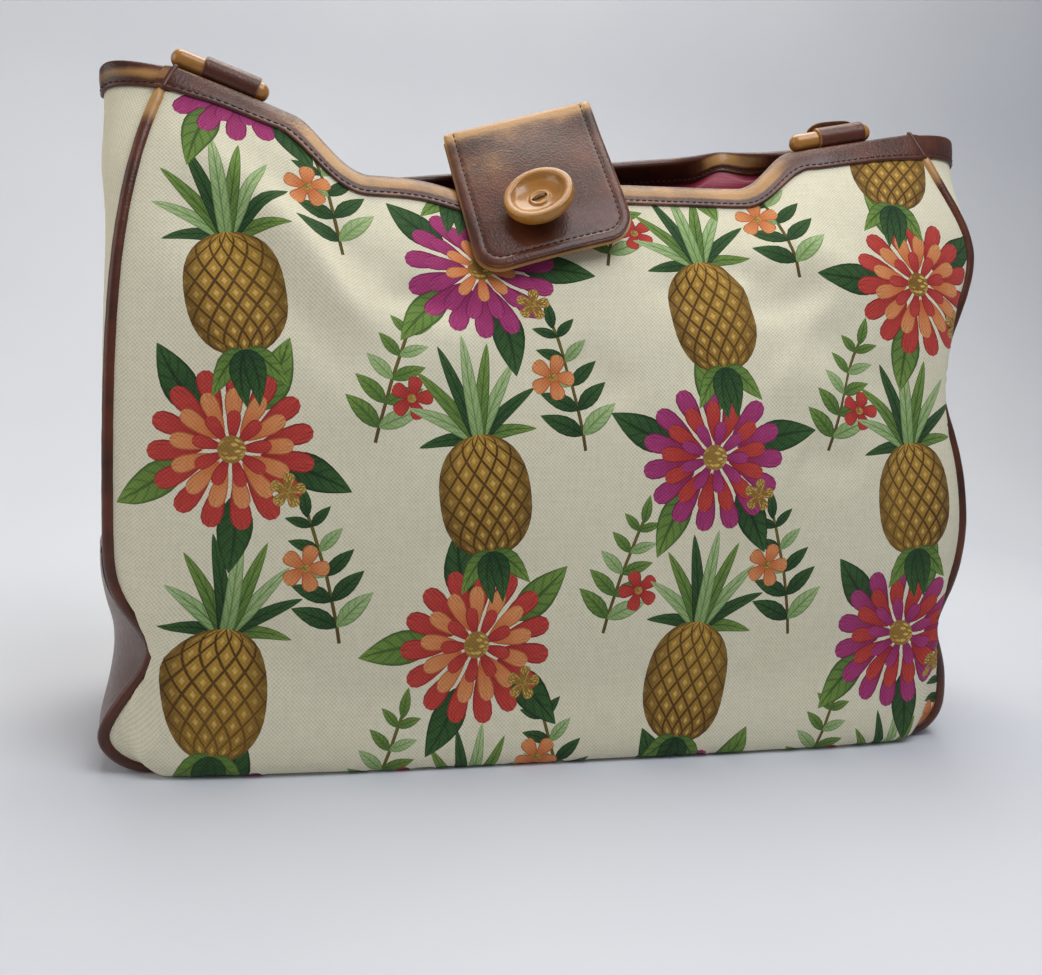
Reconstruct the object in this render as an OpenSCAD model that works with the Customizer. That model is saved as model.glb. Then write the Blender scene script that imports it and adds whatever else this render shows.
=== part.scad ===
// Soft tote bag: printed canvas body, leatherette bands and piping, a buttoned flap and two toggle rods.
// Lengths are millimetres. X runs to the right, the front faces -Y, and the bag stands on z = 0.

/* [Body] */
// Width between the side seams at mid height
body_w = 426; // [400:1:450]
// Width of the mouth between its corners
mouth_w = 376; // [360:1:390]
// Depth of the base between its two long seams
body_d = 124; // [114:1:136]
// Height of the mouth corners
body_h = 320; // [305:1:335]
// Radius of the seam at the bottom corners
corner_r = 18; // [15:1:22]

/* [Fullness] */
// Forward bulge of the front panel at mid height
front_bulge = 15; // [9:1:20]
// Backward bulge of the back panel at mid height
back_bulge = 14; // [9:1:18]
// Bow of the long edges of the base
base_bow = 7; // [3:1:10]
// Bow of the side panels at the mouth
mouth_bow = 29; // [26:1:34]
// Bow of the side panels lower down
side_bow = 4; // [2:1:7]
// Half width of the mouth, as a share of half the base depth
mouth_share = 0.23; // [0.21:0.01:0.27]

/* [Creases] */
// Depth of the pinch low on the left seam
left_pinch = 18; // [10:1:20]
// Depth of the pinch low on the right seam
right_pinch = 9; // [6:1:14]
// Depth of the hollow halfway up the right seam
right_hollow = 10; // [5:1:12]
// Backward tuck of the right seam at the same height
right_tuck = 10; // [5:1:12]
// Depth of the slanting drag fold in the upper left of the front
drag_fold = 4; // [0:0.5:6]

/* [Mouth line] */
// Drop of the front band's low middle below the corners
front_drop = 39; // [34:1:42]
// Drop of the back band's low middle below the corners
back_drop = 28; // [24:1:32]
// Fall of the front band from the left corner, per millimetre
left_fall = 0.316; // [0.27:0.01:0.34]
// Fall of the front band from the right corner, per millimetre
right_fall = 0.22; // [0.18:0.01:0.25]
// Height of the bands
band_h = 15; // [13:1:17]

/* [Materials] */
// Thickness of the canvas
canvas_t = 1.6; // [1.2:0.1:1.8]
// Thickness of the leatherette
leather_t = 1.2; // [0.9:0.1:1.4]
// Thickness of the lining
lining_t = 0.9; // [0.7:0.1:1]
// Radius of the piping
piping_r = 3; // [2.6:0.1:3.2]

/* [Flap] */
// Width of the flap along its fold
flap_w = 78; // [72:1:82]
// Length of the flap from its fold to its lower edge
flap_l = 88; // [80:1:92]
// Sideways slant of the flap over its length
flap_slant = -9; // [-12:1:-4]
// Tilt of the fold, right end up
flap_tilt = 17; // [15:1:18]
// Slope of the flap below the horizontal
flap_slope = 47; // [44:1:48]
// Radius of the flap's lower corners
flap_corner = 14; // [8:1:20]
// Diameter of the button
button_d = 34; // [28:1:38]
// Thickness of the button
button_t = 8; // [6:0.5:9]

/* [Toggle rods] */
// Diameter of the rods
rod_d = 9.2; // [8:0.2:10]
// Length of the rods
rod_l = 46; // [42:1:52]
// Length of the sleeves that carry the rods
sleeve_l = 26; // [22:1:30]
// How far the rods stand left of the middle of their sleeves
rod_shift = 5; // [0:1:7]

/* [Hidden] */
$fn = 48;
half_w = body_w / 2;
half_m = mouth_w / 2;
half_d = body_d / 2;
air = 0.45;
// Height of the piping's centre line above the floor
seam_z = piping_r + 0.1;
// Inset of each piece from the seam's centre line
panel_inset = piping_r + 1.6;
lining_inset = piping_r + 5;
side_inset = piping_r + 0.8;
// The side panels lie outside the seam so that their foot runs flush into the base
side_out = seam_z - canvas_t / 2;
side_foot = canvas_t / 2;
skin = canvas_t / 2;
lining_slack = 1.6;
band_in = skin + air;
band_out = band_in + leather_t;
band_run = band_h + 4;
band_reach = half_m + 2.6;
boot_share = 0.33;
mouth_shut = 1 - mouth_share;
flap_fold = [-22.5, 4, body_h - 8.5];
flap_ply = 1.4;
flap_roll = 2.6;
// The sewn end is narrower than the flap and lies behind its right part
tail_narrow = 0.75;
tail_shift = 6;
button_at = [-9.5, -63.5];
// The button leans up the flap and to the left on its thread
button_lean = 8;
button_roll = 13;
button_lift = (button_d / 2 - 3.5) * sin(acos(cos(button_lean) * cos(button_roll)));
rod_clear = 0.08;
sleeve_r = rod_d / 2 + rod_clear + leather_t + 0.2;
left_rod_x = -0.865 * half_m;
right_rod_x = 0.793 * half_m;
CANVAS = "#d8cfae";
LEATHER = "#4a2f26";
TAN = "#b98a55";
CRIMSON = "#8f1230";
AMBER = "#d59a4a";
FRONT = -1;
BACK = 1;

// Small helpers

function unit(v) = v / norm(v);
function mix(a, b, t) = a + (b - a) * t;
function clamp01(t) = max(0, min(1, t));
function ease(t) = let(c = clamp01(t)) c * c * (3 - 2 * c);
function bell(x, centre, spread) = exp(-pow((x - centre) / spread, 2));
function even(n) = [for (i = [0 : n]) i / n];
// Values from -1 to 1 that crowd towards both ends
function crowded(n) = [for (i = [0 : n]) sin(180 * i / n - 90)];

// The body's form. A side is -1 at the left and 1 at the right, and v runs from 0 at the foot to 1 at the mouth.

// Half width of the body at the seam, with its pinches
function seam_half(v, side) =
    let(plain = half_w - (half_w - half_m) * pow(v, 6))
    side < 0
        ? plain - left_pinch * bell(v, 0.175, 0.069) + 4 * bell(v, 0.044, 0.044)
        : plain - right_pinch * bell(v, 0.188, 0.063) - right_hollow * bell(v, 0.6, 0.106)
            + 9 * bell(v, 0.82, 0.088) + 2 * bell(v, 0.35, 0.069);

// A half width rounded with radius r over the first rise from the foot
function round_foot(full, r, rise) =
    let(d = max(0, min(r, r - rise)))
    full - r + sqrt(max(0, r * r - d * d));

// Half width of a panel that is drawn in from the seam by an inset
function half_at(v, side, inset) =
    round_foot(seam_half(v, side) - inset, corner_r - inset, v * (body_h - seam_z) - inset);

// Half width of a side panel, which lies outside the seam
function side_half(v, side) =
    round_foot(seam_half(v, side) + side_out, corner_r + side_out, v * (body_h - side_foot));

// Height of the mouth line of the front or the back, with its step drawn out by a factor
function mouth_z(face, x, soft = 1) =
    let(
        a = min(abs(x), half_m),
        left = x < 0,
        fall = face == FRONT ? (left ? left_fall : right_fall) : (left ? left_fall + 0.01 : right_fall - 0.05),
        high = body_h - fall * (half_m - a),
        low = face == FRONT
            ? body_h - front_drop + 0.035 * x - 8 * bell(x, -40, 26)
            : body_h - back_drop + 0.14 * x,
        at = left ? 0.617 : (face == FRONT ? 0.56 : 0.54),
        run = soft * (left ? 0.096 : 0.085)
    )
    mix(low, high, ease((a / half_m - at + run) / (2 * run)));

// Distance of the seam from the middle plane
function seam_depth(face, v, side) =
    half_d * (1 - mouth_shut * pow(max(0, v), 3.6))
        - (face == FRONT && side > 0 ? right_tuck * bell(v, 0.59, 0.125) : 0);

// Folds that the front panel takes from its pinches and its upper left corner
function crease(u, v) =
    3 * bell(v, 0.17, 0.05) * bell(u, -0.9, 0.2) + 3 * bell(v, 0.19, 0.05) * bell(u, 0.9, 0.2)
        + drag_fold * bell(u + 0.35 * v, -0.47, 0.06) * bell(v, 0.76, 0.16);

// Distance of a panel from the middle plane
function panel_depth(face, x, v) =
    let(
        side = x < 0 ? -1 : 1,
        u = max(-1.02, min(1.02, x / half_at(v, side, 0))),
        edge = pow(abs(u), 6),
        bulge = face == FRONT ? front_bulge : back_bulge,
        w = v * (mouth_z(face, x) - seam_z) / (mouth_z(face, x, 2.2) - seam_z),
        middle = half_d * (1 - mouth_shut * pow(w, 5)) + bulge * 4 * w * (1 - w) + base_bow * pow(1 - w, 2)
    )
    mix(middle - (face == FRONT ? crease(u, v) : 0), seam_depth(face, v, side), edge);

function panel_point(face, x, v) =
    [x, face * panel_depth(face, x, v), seam_z + (mouth_z(face, x) - seam_z) * v];

function panel_rise(face, x, v) =
    let(e = 0.004) (panel_point(face, x, v + e) - panel_point(face, x, v - e)) / (2 * e);

// Outward normal of a panel
function panel_normal(face, x, v) =
    let(e = 0.5, across = panel_point(face, x + e, v) - panel_point(face, x - e, v))
    -face * unit(cross(across, panel_rise(face, x, v)));

function panel_offset(face, x, v, out) = panel_point(face, x, v) + out * panel_normal(face, x, v);

// Share of the height that lies a given distance below the mouth line
function below(face, x, d) = 1 - d / norm(panel_rise(face, x, 1));

// Bow of a side panel, full at the mouth and filling out behind the pinches
function bow_at(v, side) =
    side_bow * min(1, 6 * v) + (mouth_bow - side_bow) * pow(clamp01((v - 0.53) / 0.47), 3)
        + (side < 0 ? left_pinch : right_pinch) * 0.9 * bell(v, 0.18, 0.08);

// A point of a side panel, where t runs from -1 at the front to 1 at the back
function side_point(side, t, v) =
    let(
        front = -seam_depth(FRONT, v, side) + side_inset,
        back = seam_depth(BACK, v, side) - side_inset,
        reach = side_half(v, side) + bow_at(v, side) * (1 - pow(abs(t), 2.6)),
        s = abs(t),
        top = body_h - 5 * (1 - s) * (1 - s) + 10 * s * (1 - s)
    )
    [side * reach, mix(front, back, (t + 1) / 2), side_foot + (top - side_foot) * v];

function side_rise(side, t, v) =
    let(e = 0.002) (side_point(side, t, v + e) - side_point(side, t, max(0, v - e))) / (v < e ? e + v : 2 * e);

function side_normal(side, t, v) =
    let(e = 0.01, along = side_point(side, t + e, v) - side_point(side, t - e, v))
    side * unit(cross(along, side_rise(side, t, v)));

function side_offset(side, t, v, out) = side_point(side, t, v) + out * side_normal(side, t, v);

function side_below(side, t, d) = 1 - d / norm(side_rise(side, t, 0.997));

// Heights that follow the rounded foot of a side panel in equal turns
function foot_shares(turns) =
    let(r = corner_r + side_out)
    [for (i = [0 : turns]) r * (1 - cos(90 * i / turns)) / (body_h - side_foot)];

// Closed solids from grids of points

function flat(rows) = [for (row = rows) each row];

// Faces of a solid between an outer and an inner grid with m columns of n points
function sheet_faces(m, n) =
    let(k = m * n)
    concat(
        [for (i = [0 : m - 2], j = [0 : n - 2]) let(a = i * n + j, b = a + n)
            each [[a, a + 1, b + 1], [a, b + 1, b], [k + b + 1, k + a + 1, k + a], [k + b, k + b + 1, k + a]]],
        [for (i = [0 : m - 2]) let(a = i * n, b = a + n, c = a + n - 1, d = b + n - 1)
            each [[a, b, k + b], [a, k + b, k + a], [d, c, k + c], [d, k + c, k + d]]],
        [for (j = [0 : n - 2]) let(a = j, b = (m - 1) * n + j)
            each [[a + 1, a, k + a], [a + 1, k + a, k + a + 1], [b, b + 1, k + b + 1], [b, k + b + 1, k + b]]]
    );

function turned(faces) = [for (f = faces) [f[2], f[1], f[0]]];

module sheet(outer, inner, turn = false) {
    faces = sheet_faces(len(outer), len(outer[0]));
    polyhedron(concat(flat(outer), flat(inner)), turn ? turned(faces) : faces);
}

// A round tube along a path that stays roughly square to the Y axis
module piped(path, r, sides = 8) {
    m = len(path);
    points = [for (i = [0 : m - 1])
        let(
            along = unit(path[min(m - 1, i + 1)] - path[max(0, i - 1)]),
            across = unit(cross(along, [0, 1, 0])),
            out = cross(across, along)
        )
        each [for (k = [0 : sides - 1])
            path[i] + r * (cos(360 * k / sides) * across + sin(360 * k / sides) * out)]];
    walls = [for (i = [0 : m - 2], k = [0 : sides - 1])
        let(a = i * sides + k, b = i * sides + (k + 1) % sides)
        each [[a, b, b + sides], [a, b + sides, a + sides]]];
    caps = [
        [for (k = [0 : sides - 1]) sides - 1 - k],
        [for (k = [0 : sides - 1]) (m - 1) * sides + k]
    ];
    polyhedron(points, concat(walls, caps));
}

// A skin over a run of rings, closed at both ends by a single point
module ringed(first, rings, last) {
    n = len(rings[0]);
    m = len(rings);
    points = concat([first], flat(rings), [last]);
    walls = [for (i = [0 : m - 2], k = [0 : n - 1])
        let(a = 1 + i * n + k, b = 1 + i * n + (k + 1) % n)
        each [[a, a + n, b + n], [a, b + n, b]]];
    ends = [for (k = [0 : n - 1])
        let(a = 1 + k, b = 1 + (k + 1) % n, c = 1 + (m - 1) * n + k, d = 1 + (m - 1) * n + (k + 1) % n)
        each [[0, a, b], [c, m * n + 1, d]]];
    polyhedron(points, concat(walls, ends));
}

// Panels, bands, side panels and piping

// Columns of a panel and its band share their places along the mouth
function mouth_x(u) = u * (half_m - 1);

module panel(face, columns, rows) {
    low = panel_inset / (body_h - seam_z);
    grid = function (out) [for (u = crowded(columns)) concat(
        [for (s = even(rows))
            let(
                side = u < 0 ? -1 : 1,
                top = below(face, mouth_x(u), band_h + 2),
                v = mix(low, top, pow(s, 1.5)),
                x = u * half_at(v, side, panel_inset)
            )
            panel_offset(face, x, v, out)],
        [for (d = [band_h, band_h / 2, 3]) panel_offset(face, mouth_x(u), below(face, mouth_x(u), d), out)]
    )];
    sheet(grid(skin), grid(-skin), face == BACK);
}

// Profile of a band folded over an edge: distance below the edge, and outwards
function fold_profile(w, top) = [
    [band_h, w], [band_h / 2, w], [top + 1.8, w], [top + 0.5, 0.7 * w], [top, 0],
    [top + 0.5, -0.7 * w], [top + 1.8, -w], [band_h / 2, -w], [band_h, -w]
];

module mouth_band(face, stations) {
    xs = concat([-band_reach], [for (u = crowded(stations)) mouth_x(u)], [band_reach]);
    grid = function (w, top) [for (x = xs) [for (p = fold_profile(w, top))
        panel_offset(face, x, below(face, x, p[0]), p[1])]];
    sheet(grid(band_out, 0), grid(band_in, 1.4), face == BACK);
}

module side_band(side, stations) {
    grid = function (w, top) [for (t = crowded(stations)) [for (p = fold_profile(w, top))
        side_offset(side, t, side_below(side, t, p[0]), p[1])]];
    sheet(grid(band_out, 0), grid(band_in, 1.4), side > 0);
}

module gusset(side) {
    grid = function (out) [for (t = crowded(16)) concat(
        [for (s = even(10)) side_offset(side, t, mix(boot_share + 0.0015, side_below(side, t, band_h + 2), s), out)],
        [for (d = [band_h, band_h / 2, 3]) side_offset(side, t, side_below(side, t, d), out)]
    )];
    sheet(grid(skin), grid(-skin), side > 0);
}

module boot(side) {
    shares = concat(foot_shares(5), [for (i = [1 : 10]) mix(foot_shares(1)[1], boot_share, i / 10)]);
    grid = function (out) [for (t = crowded(10)) [for (v = shares) side_offset(side, t, v, out)]];
    sheet(grid(skin), grid(-skin), side > 0);
}

// The seam's centre line: down one side, along the foot and up the other
function seam_path(face) =
    let(
        top = below(face, half_m, band_h + 1.2),
        turns = [for (i = [0 : 6]) corner_r * (1 - cos(15 * i)) / (body_h - seam_z)],
        climb = concat(turns, [for (i = [1 : 28]) mix(turns[6], top, i / 28)]),
        foot = half_at(0, -1, 0),
        foot_r = half_at(0, 1, 0)
    )
    concat(
        [for (i = [len(climb) - 1 : -1 : 0]) panel_point(face, -half_at(climb[i], -1, 0), climb[i])],
        [for (i = [1 : 11]) panel_point(face, mix(-foot, foot_r, i / 12), 0)],
        [for (v = climb) panel_point(face, half_at(v, 1, 0), v)]
    );

module piping(face) {
    path = seam_path(face);
    piped(path, piping_r);
}

// Sub-parts

module front_panel() {
    color(CANVAS) panel(FRONT, 48, 17);
}

module back_panel() {
    color(CANVAS) panel(BACK, 36, 13);
}

module left_gusset() {
    color(CANVAS) gusset(-1);
}

module right_gusset() {
    color(CANVAS) gusset(1);
}

module left_boot() {
    color(LEATHER) boot(-1);
}

module right_boot() {
    color(LEATHER) boot(1);
}

// A flat plate inside the piping, flush with the feet of the side panels
module base_panel() {
    left = -half_at(0, -1, 0) + air;
    right = half_at(0, 1, 0) - air;
    xs = [for (i = [0 : 12]) mix(left, right, i / 12)];
    edge = function (face, x) face * (panel_depth(face, x, 0) - piping_r - 0.4);
    outline = concat(
        [for (x = xs) [x, edge(FRONT, x)]],
        [for (i = [12 : -1 : 0]) [xs[i], edge(BACK, xs[i])]]
    );
    color(LEATHER) linear_extrude(canvas_t) polygon(outline);
}

// A pouch that follows the panels from the base to the lower edge of the bands
module lining() {
    shares = [for (s = even(18)) pow(s, 1.3)];
    low = lining_inset / (body_h - seam_z);
    ring = function (s, out) concat(
        [for (u = even(20))
            let(
                side = u < 0.5 ? -1 : 1,
                v0 = mix(low, 0.945, s),
                x = (2 * u - 1) * half_at(v0, side, lining_inset)
            )
            panel_offset(FRONT, x, mix(low, below(FRONT, x, band_run), s), -out)],
        [for (t = [-0.84 : 0.28 : 0.85])
            side_offset(1, t, mix(low, side_below(1, t, band_run), s), -out)],
        [for (u = even(20))
            let(
                side = u < 0.5 ? 1 : -1,
                v0 = mix(low, 0.945, s),
                x = (1 - 2 * u) * half_at(v0, side, lining_inset)
            )
            panel_offset(BACK, x, mix(low, below(BACK, x, band_run), s), -out)],
        [for (t = [0.84 : -0.28 : -0.85])
            side_offset(-1, t, mix(low, side_below(-1, t, band_run), s), -out)]
    );
    near = skin + lining_slack;
    far = near + lining_t;
    floor_z = canvas_t + 0.4;
    floor_ring = function (out, z) [for (p = ring(0, out)) [0.93 * p[0], 0.86 * p[1], z]];
    outer = concat([floor_ring(near, floor_z)], [for (s = shares) ring(s, near)]);
    inner = concat([for (i = [len(shares) - 1 : -1 : 0]) ring(shares[i], far)], [floor_ring(far, floor_z + lining_t)]);
    color(CRIMSON) ringed([0, 0, floor_z], concat(outer, inner), [0, 0, floor_z + lining_t]);
}

module front_band() {
    color(LEATHER) mouth_band(FRONT, 48);
}

module back_band() {
    color(LEATHER) mouth_band(BACK, 36);
}

module left_band() {
    color(LEATHER) side_band(-1, 16);
}

module right_band() {
    color(LEATHER) side_band(1, 16);
}

module front_piping() {
    color(LEATHER) piping(FRONT);
}

module back_piping() {
    color(LEATHER) piping(BACK);
}

// The flap lies in its own frame: X along the fold, -Y down its length, Z outwards
module in_flap_frame() {
    translate(flap_fold) rotate([flap_slope, -flap_tilt, 0]) children();
}

// Points of an arc that rounds the corner b between a and c
function rounded(a, b, c, r) =
    let(
        p = unit(a - b),
        q = unit(c - b),
        half = acos(p * q) / 2,
        centre = b + unit(p + q) * r / sin(half),
        start = b + p * r / tan(half) - centre,
        from = atan2(start[1], start[0]),
        sweep = 180 - 2 * half
    )
    [for (i = [0 : 8]) centre + r * [cos(from + sweep * i / 8), sin(from + sweep * i / 8)]];

function flap_outline(start) =
    let(
        h = flap_w / 2,
        top_l = [-h, -start],
        top_r = [h, -start],
        low_l = [-h + flap_slant, -flap_l],
        low_r = [h + flap_slant, -flap_l]
    )
    concat([top_r, top_l], rounded(top_l, low_l, low_r, flap_corner), rounded(low_l, low_r, top_r, flap_corner));

module flap_layer(start, low, high) {
    translate([0, 0, low]) linear_extrude(high - low) polygon(flap_outline(start));
}

module flap() {
    color(LEATHER) in_flap_frame() {
        rotate([0, 90, 0]) cylinder(h = flap_w, r = flap_roll, center = true);
        flap_layer(0, flap_roll - flap_ply, flap_roll);
    }
}

module flap_backing() {
    face_low = flap_roll - flap_ply - 0.2;
    color(TAN) in_flap_frame() flap_layer(flap_roll + 0.25, face_low - flap_ply, face_low);
}

// The sewn end runs from behind the fold down the inner face of the back band
module flap_tail() {
    h = flap_w / 2 - 1;
    lie = band_out + 1.2 + flap_ply / 2;
    middle = function (x) let(s = flap_fold[0] + (tail_narrow * x + tail_shift) * cos(flap_tilt)) [
        flap_fold + x * [cos(flap_tilt), 0, sin(flap_tilt)] + (flap_roll + 0.7) * unit([0, 0.5, -0.85]),
        panel_offset(BACK, s, below(BACK, s, 4), -lie - 0.5),
        panel_offset(BACK, s, below(BACK, s, band_h - 1), -lie)
    ];
    grid = function (out) [for (x = [-h : h / 6 : h + 0.01]) let(m = middle(x)) [for (i = [0 : 2])
        let(
            along = unit(m[min(2, i + 1)] - m[max(0, i - 1)]),
            face = unit(cross([1, 0, 0], along))
        )
        m[i] + out * face]];
    color(LEATHER) sheet(grid(flap_ply / 2), grid(-flap_ply / 2));
}

// The button leans on the flap with its lower edge lifted
module in_button_frame() {
    lift = flap_roll + air + button_lift;
    in_flap_frame() translate([button_at[0], button_at[1], lift]) rotate([-button_lean, -button_roll, 0]) children();
}

module flap_button() {
    r = button_d / 2;
    t = button_t;
    color(AMBER) in_button_frame() difference() {
        rotate_extrude() polygon([
            [0, 0], [r - 3.5, 0], [r - 0.8, 1.6], [r, 3.6], [r, t - 1.8], [r - 0.6, t - 0.5], [r - 1.8, t],
            [r - 3.2, t - 0.4], [r - 5, t - 1.8], [r / 2, t - 3.6], [0, t - 4.2]
        ]);
        for (side = [-1, 1]) translate([side * 3, 0, -1]) cylinder(h = t + 2, r = 1.4);
    }
}

// Two stitches through the holes, joined by a bar in the dish
module button_thread() {
    stub = button_lift - 0.1;
    top = button_t - 3.9;
    color(LEATHER) in_button_frame() {
        for (side = [-1, 1]) let(down = stub + side * 3 * sin(button_roll) - 0.2)
            translate([side * 3, 0, -down]) cylinder(h = top + down + 0.6, r = 1.1);
        translate([-3, -0.9, top]) cube([6, 1.8, 0.8]);
    }
}

// A sleeve stands on the mouth line with its axis along the line
module at_sleeve(x) {
    up = unit(panel_rise(FRONT, x, 1));
    slope = x < 0 ? left_fall : -right_fall;
    translate(panel_point(FRONT, x, 1) + (sleeve_r + 0.8) * up) rotate([0, atan(slope), 0]) children();
}

module sleeve(x) {
    at_sleeve(x) rotate([0, 90, 0]) difference() {
        cylinder(h = sleeve_l, r = sleeve_r, center = true);
        cylinder(h = sleeve_l + 2, r = rod_d / 2 + rod_clear, center = true);
    }
}

module rod(x) {
    r = rod_d / 2;
    h = rod_l / 2;
    color(AMBER) at_sleeve(x) translate([-rod_shift, 0, 0]) rotate([0, 90, 0]) rotate_extrude() polygon(concat(
        [for (a = [0 : 15 : 90]) [r * cos(90 - a), -h + r - r * sin(90 - a)]],
        [for (a = [90 : -15 : 0]) [r * cos(90 - a), h - r + r * sin(90 - a)]]
    ));
}

module left_loop() {
    color(LEATHER) sleeve(left_rod_x);
}

// The right sleeve has the strap's free end standing up behind it
module right_loop() {
    color(LEATHER) {
        sleeve(right_rod_x);
        at_sleeve(right_rod_x) translate([-sleeve_l / 2 - 2, sleeve_r - leather_t, -1])
            cube([sleeve_l, leather_t, sleeve_r + 4]);
    }
}

module left_rod() {
    rod(left_rod_x);
}

module right_rod() {
    rod(right_rod_x);
}

front_panel();
back_panel();
left_gusset();
right_gusset();
left_boot();
right_boot();
base_panel();
lining();
front_band();
back_band();
left_band();
right_band();
front_piping();
back_piping();
flap();
flap_backing();
flap_tail();
flap_button();
button_thread();
left_loop();
right_loop();
left_rod();
right_rod();
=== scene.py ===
"""A printed canvas tote bag with leatherette trim, dressed over its CAD frame.

Sizes are in millimetres in the classes and become metres when a mesh is made.
"""

import logging
import math
from dataclasses import dataclass, field
from enum import Enum, IntEnum

import bmesh
import bpy
import numpy as np
from mathutils import Matrix, Vector
from mathutils.geometry import delaunay_2d_cdt


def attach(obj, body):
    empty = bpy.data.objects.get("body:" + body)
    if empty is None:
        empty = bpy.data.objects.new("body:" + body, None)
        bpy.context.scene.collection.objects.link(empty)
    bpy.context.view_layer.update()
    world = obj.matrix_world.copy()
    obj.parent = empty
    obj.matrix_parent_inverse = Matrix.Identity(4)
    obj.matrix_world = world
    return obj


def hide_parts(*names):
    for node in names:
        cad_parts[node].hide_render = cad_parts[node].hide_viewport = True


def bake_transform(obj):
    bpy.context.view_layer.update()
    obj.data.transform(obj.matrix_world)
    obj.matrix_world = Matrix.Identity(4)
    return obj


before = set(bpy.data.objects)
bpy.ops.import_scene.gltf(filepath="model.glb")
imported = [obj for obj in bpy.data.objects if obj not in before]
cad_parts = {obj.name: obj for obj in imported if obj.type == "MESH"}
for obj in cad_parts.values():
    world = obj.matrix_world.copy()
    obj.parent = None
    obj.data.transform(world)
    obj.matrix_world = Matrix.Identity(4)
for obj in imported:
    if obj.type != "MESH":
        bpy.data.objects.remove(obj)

log = logging.getLogger("tote")

MM = 0.001
Array = np.ndarray
Place = tuple[float, float, float]


class Face(IntEnum):
    """The bag's broad faces, by the sign of Y."""

    FRONT = -1
    BACK = 1


class Side(IntEnum):
    """The bag's narrow sides, by the sign of X."""

    LEFT = -1
    RIGHT = 1


FRONT, BACK = Face
LEFT, RIGHT = Side


# Small helpers


def linear(colour: str) -> tuple[float, float, float, float]:
    """Turns an sRGB hex colour into linear values.

    Args:
        colour: Six hex digits after a hash sign.

    Returns:
        Red, green, blue and alpha for a shader socket.
    """
    parts = [int(colour[i : i + 2], 16) / 255 for i in (1, 3, 5)]
    red, green, blue = (p / 12.92 if p <= 0.04045 else ((p + 0.055) / 1.055) ** 2.4 for p in parts)
    return (red, green, blue, 1.0)


def bell(x: Array, centre: float, spread: float) -> Array:
    """Gives a smooth bump of height 1 round a centre."""
    return np.exp(-(((x - centre) / spread) ** 2))


def ease(t: Array) -> Array:
    """Gives a smooth step from 0 to 1."""
    c = np.clip(t, 0.0, 1.0)
    return c * c * (3 - 2 * c)


def mix(a: Array, b: Array, t: Array) -> Array:
    """Gives the value a share t of the way from a to b."""
    return a + (b - a) * t


def unit(v: Array) -> Array:
    """Gives vectors of length 1 along the last axis."""
    return v / np.maximum(np.linalg.norm(v, axis=-1, keepdims=True), 1e-9)


def crowded(count: int) -> Array:
    """Gives values from -1 to 1 that crowd towards both ends."""
    return np.sin(np.linspace(-math.pi / 2, math.pi / 2, count))


def turned(angle: float, axis: str) -> Array:
    """Gives a rotation matrix from an angle in degrees about a named axis."""
    return np.array(Matrix.Rotation(math.radians(angle), 3, axis))


def way(angle: float) -> tuple[Array, Array]:
    """Gives the directions along and across a line on flat cloth, from its angle in degrees."""
    a = math.radians(angle)
    return np.array([math.cos(a), math.sin(a)]), np.array([-math.sin(a), math.cos(a)])


def grid_faces(rows: int, columns: int, wrap: bool = False) -> list[list[int]]:
    """Lists the quads of a grid of points, row by row.

    Args:
        rows: Number of rows.
        columns: Number of points in a row.
        wrap: Whether each row closes on itself.

    Returns:
        Vertex numbers of each quad.
    """
    faces = []
    for i in range(rows - 1):
        for j in range(columns if wrap else columns - 1):
            a, b = i * columns + j, i * columns + (j + 1) % columns
            faces.append([a, b, b + columns, a + columns])
    return faces


def grid_normals(grid: Array) -> Array:
    """Gives unit normals of a grid of points from its own neighbours."""
    return unit(np.cross(np.gradient(grid, axis=1), np.gradient(grid, axis=0)))


def smooth_path(points: Array, count: int) -> Array:
    """Draws a smooth open curve through a few points.

    Args:
        points: Points that the curve passes through.
        count: Number of samples between two of them.

    Returns:
        Samples along the curve.
    """
    p = np.vstack([2 * points[0] - points[1], points, 2 * points[-1] - points[-2]])
    made = []
    for i in range(1, len(p) - 2):
        t = np.linspace(0, 1, count, endpoint=False)[:, None]
        a, b, c, d = p[i - 1], p[i], p[i + 1], p[i + 2]
        made.append(
            0.5
            * (2 * b + (c - a) * t + (2 * a - 5 * b + 4 * c - d) * t**2 + (3 * b - 3 * c + d - a) * t**3)
        )
    return np.vstack([*made, points[-1:]])


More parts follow.
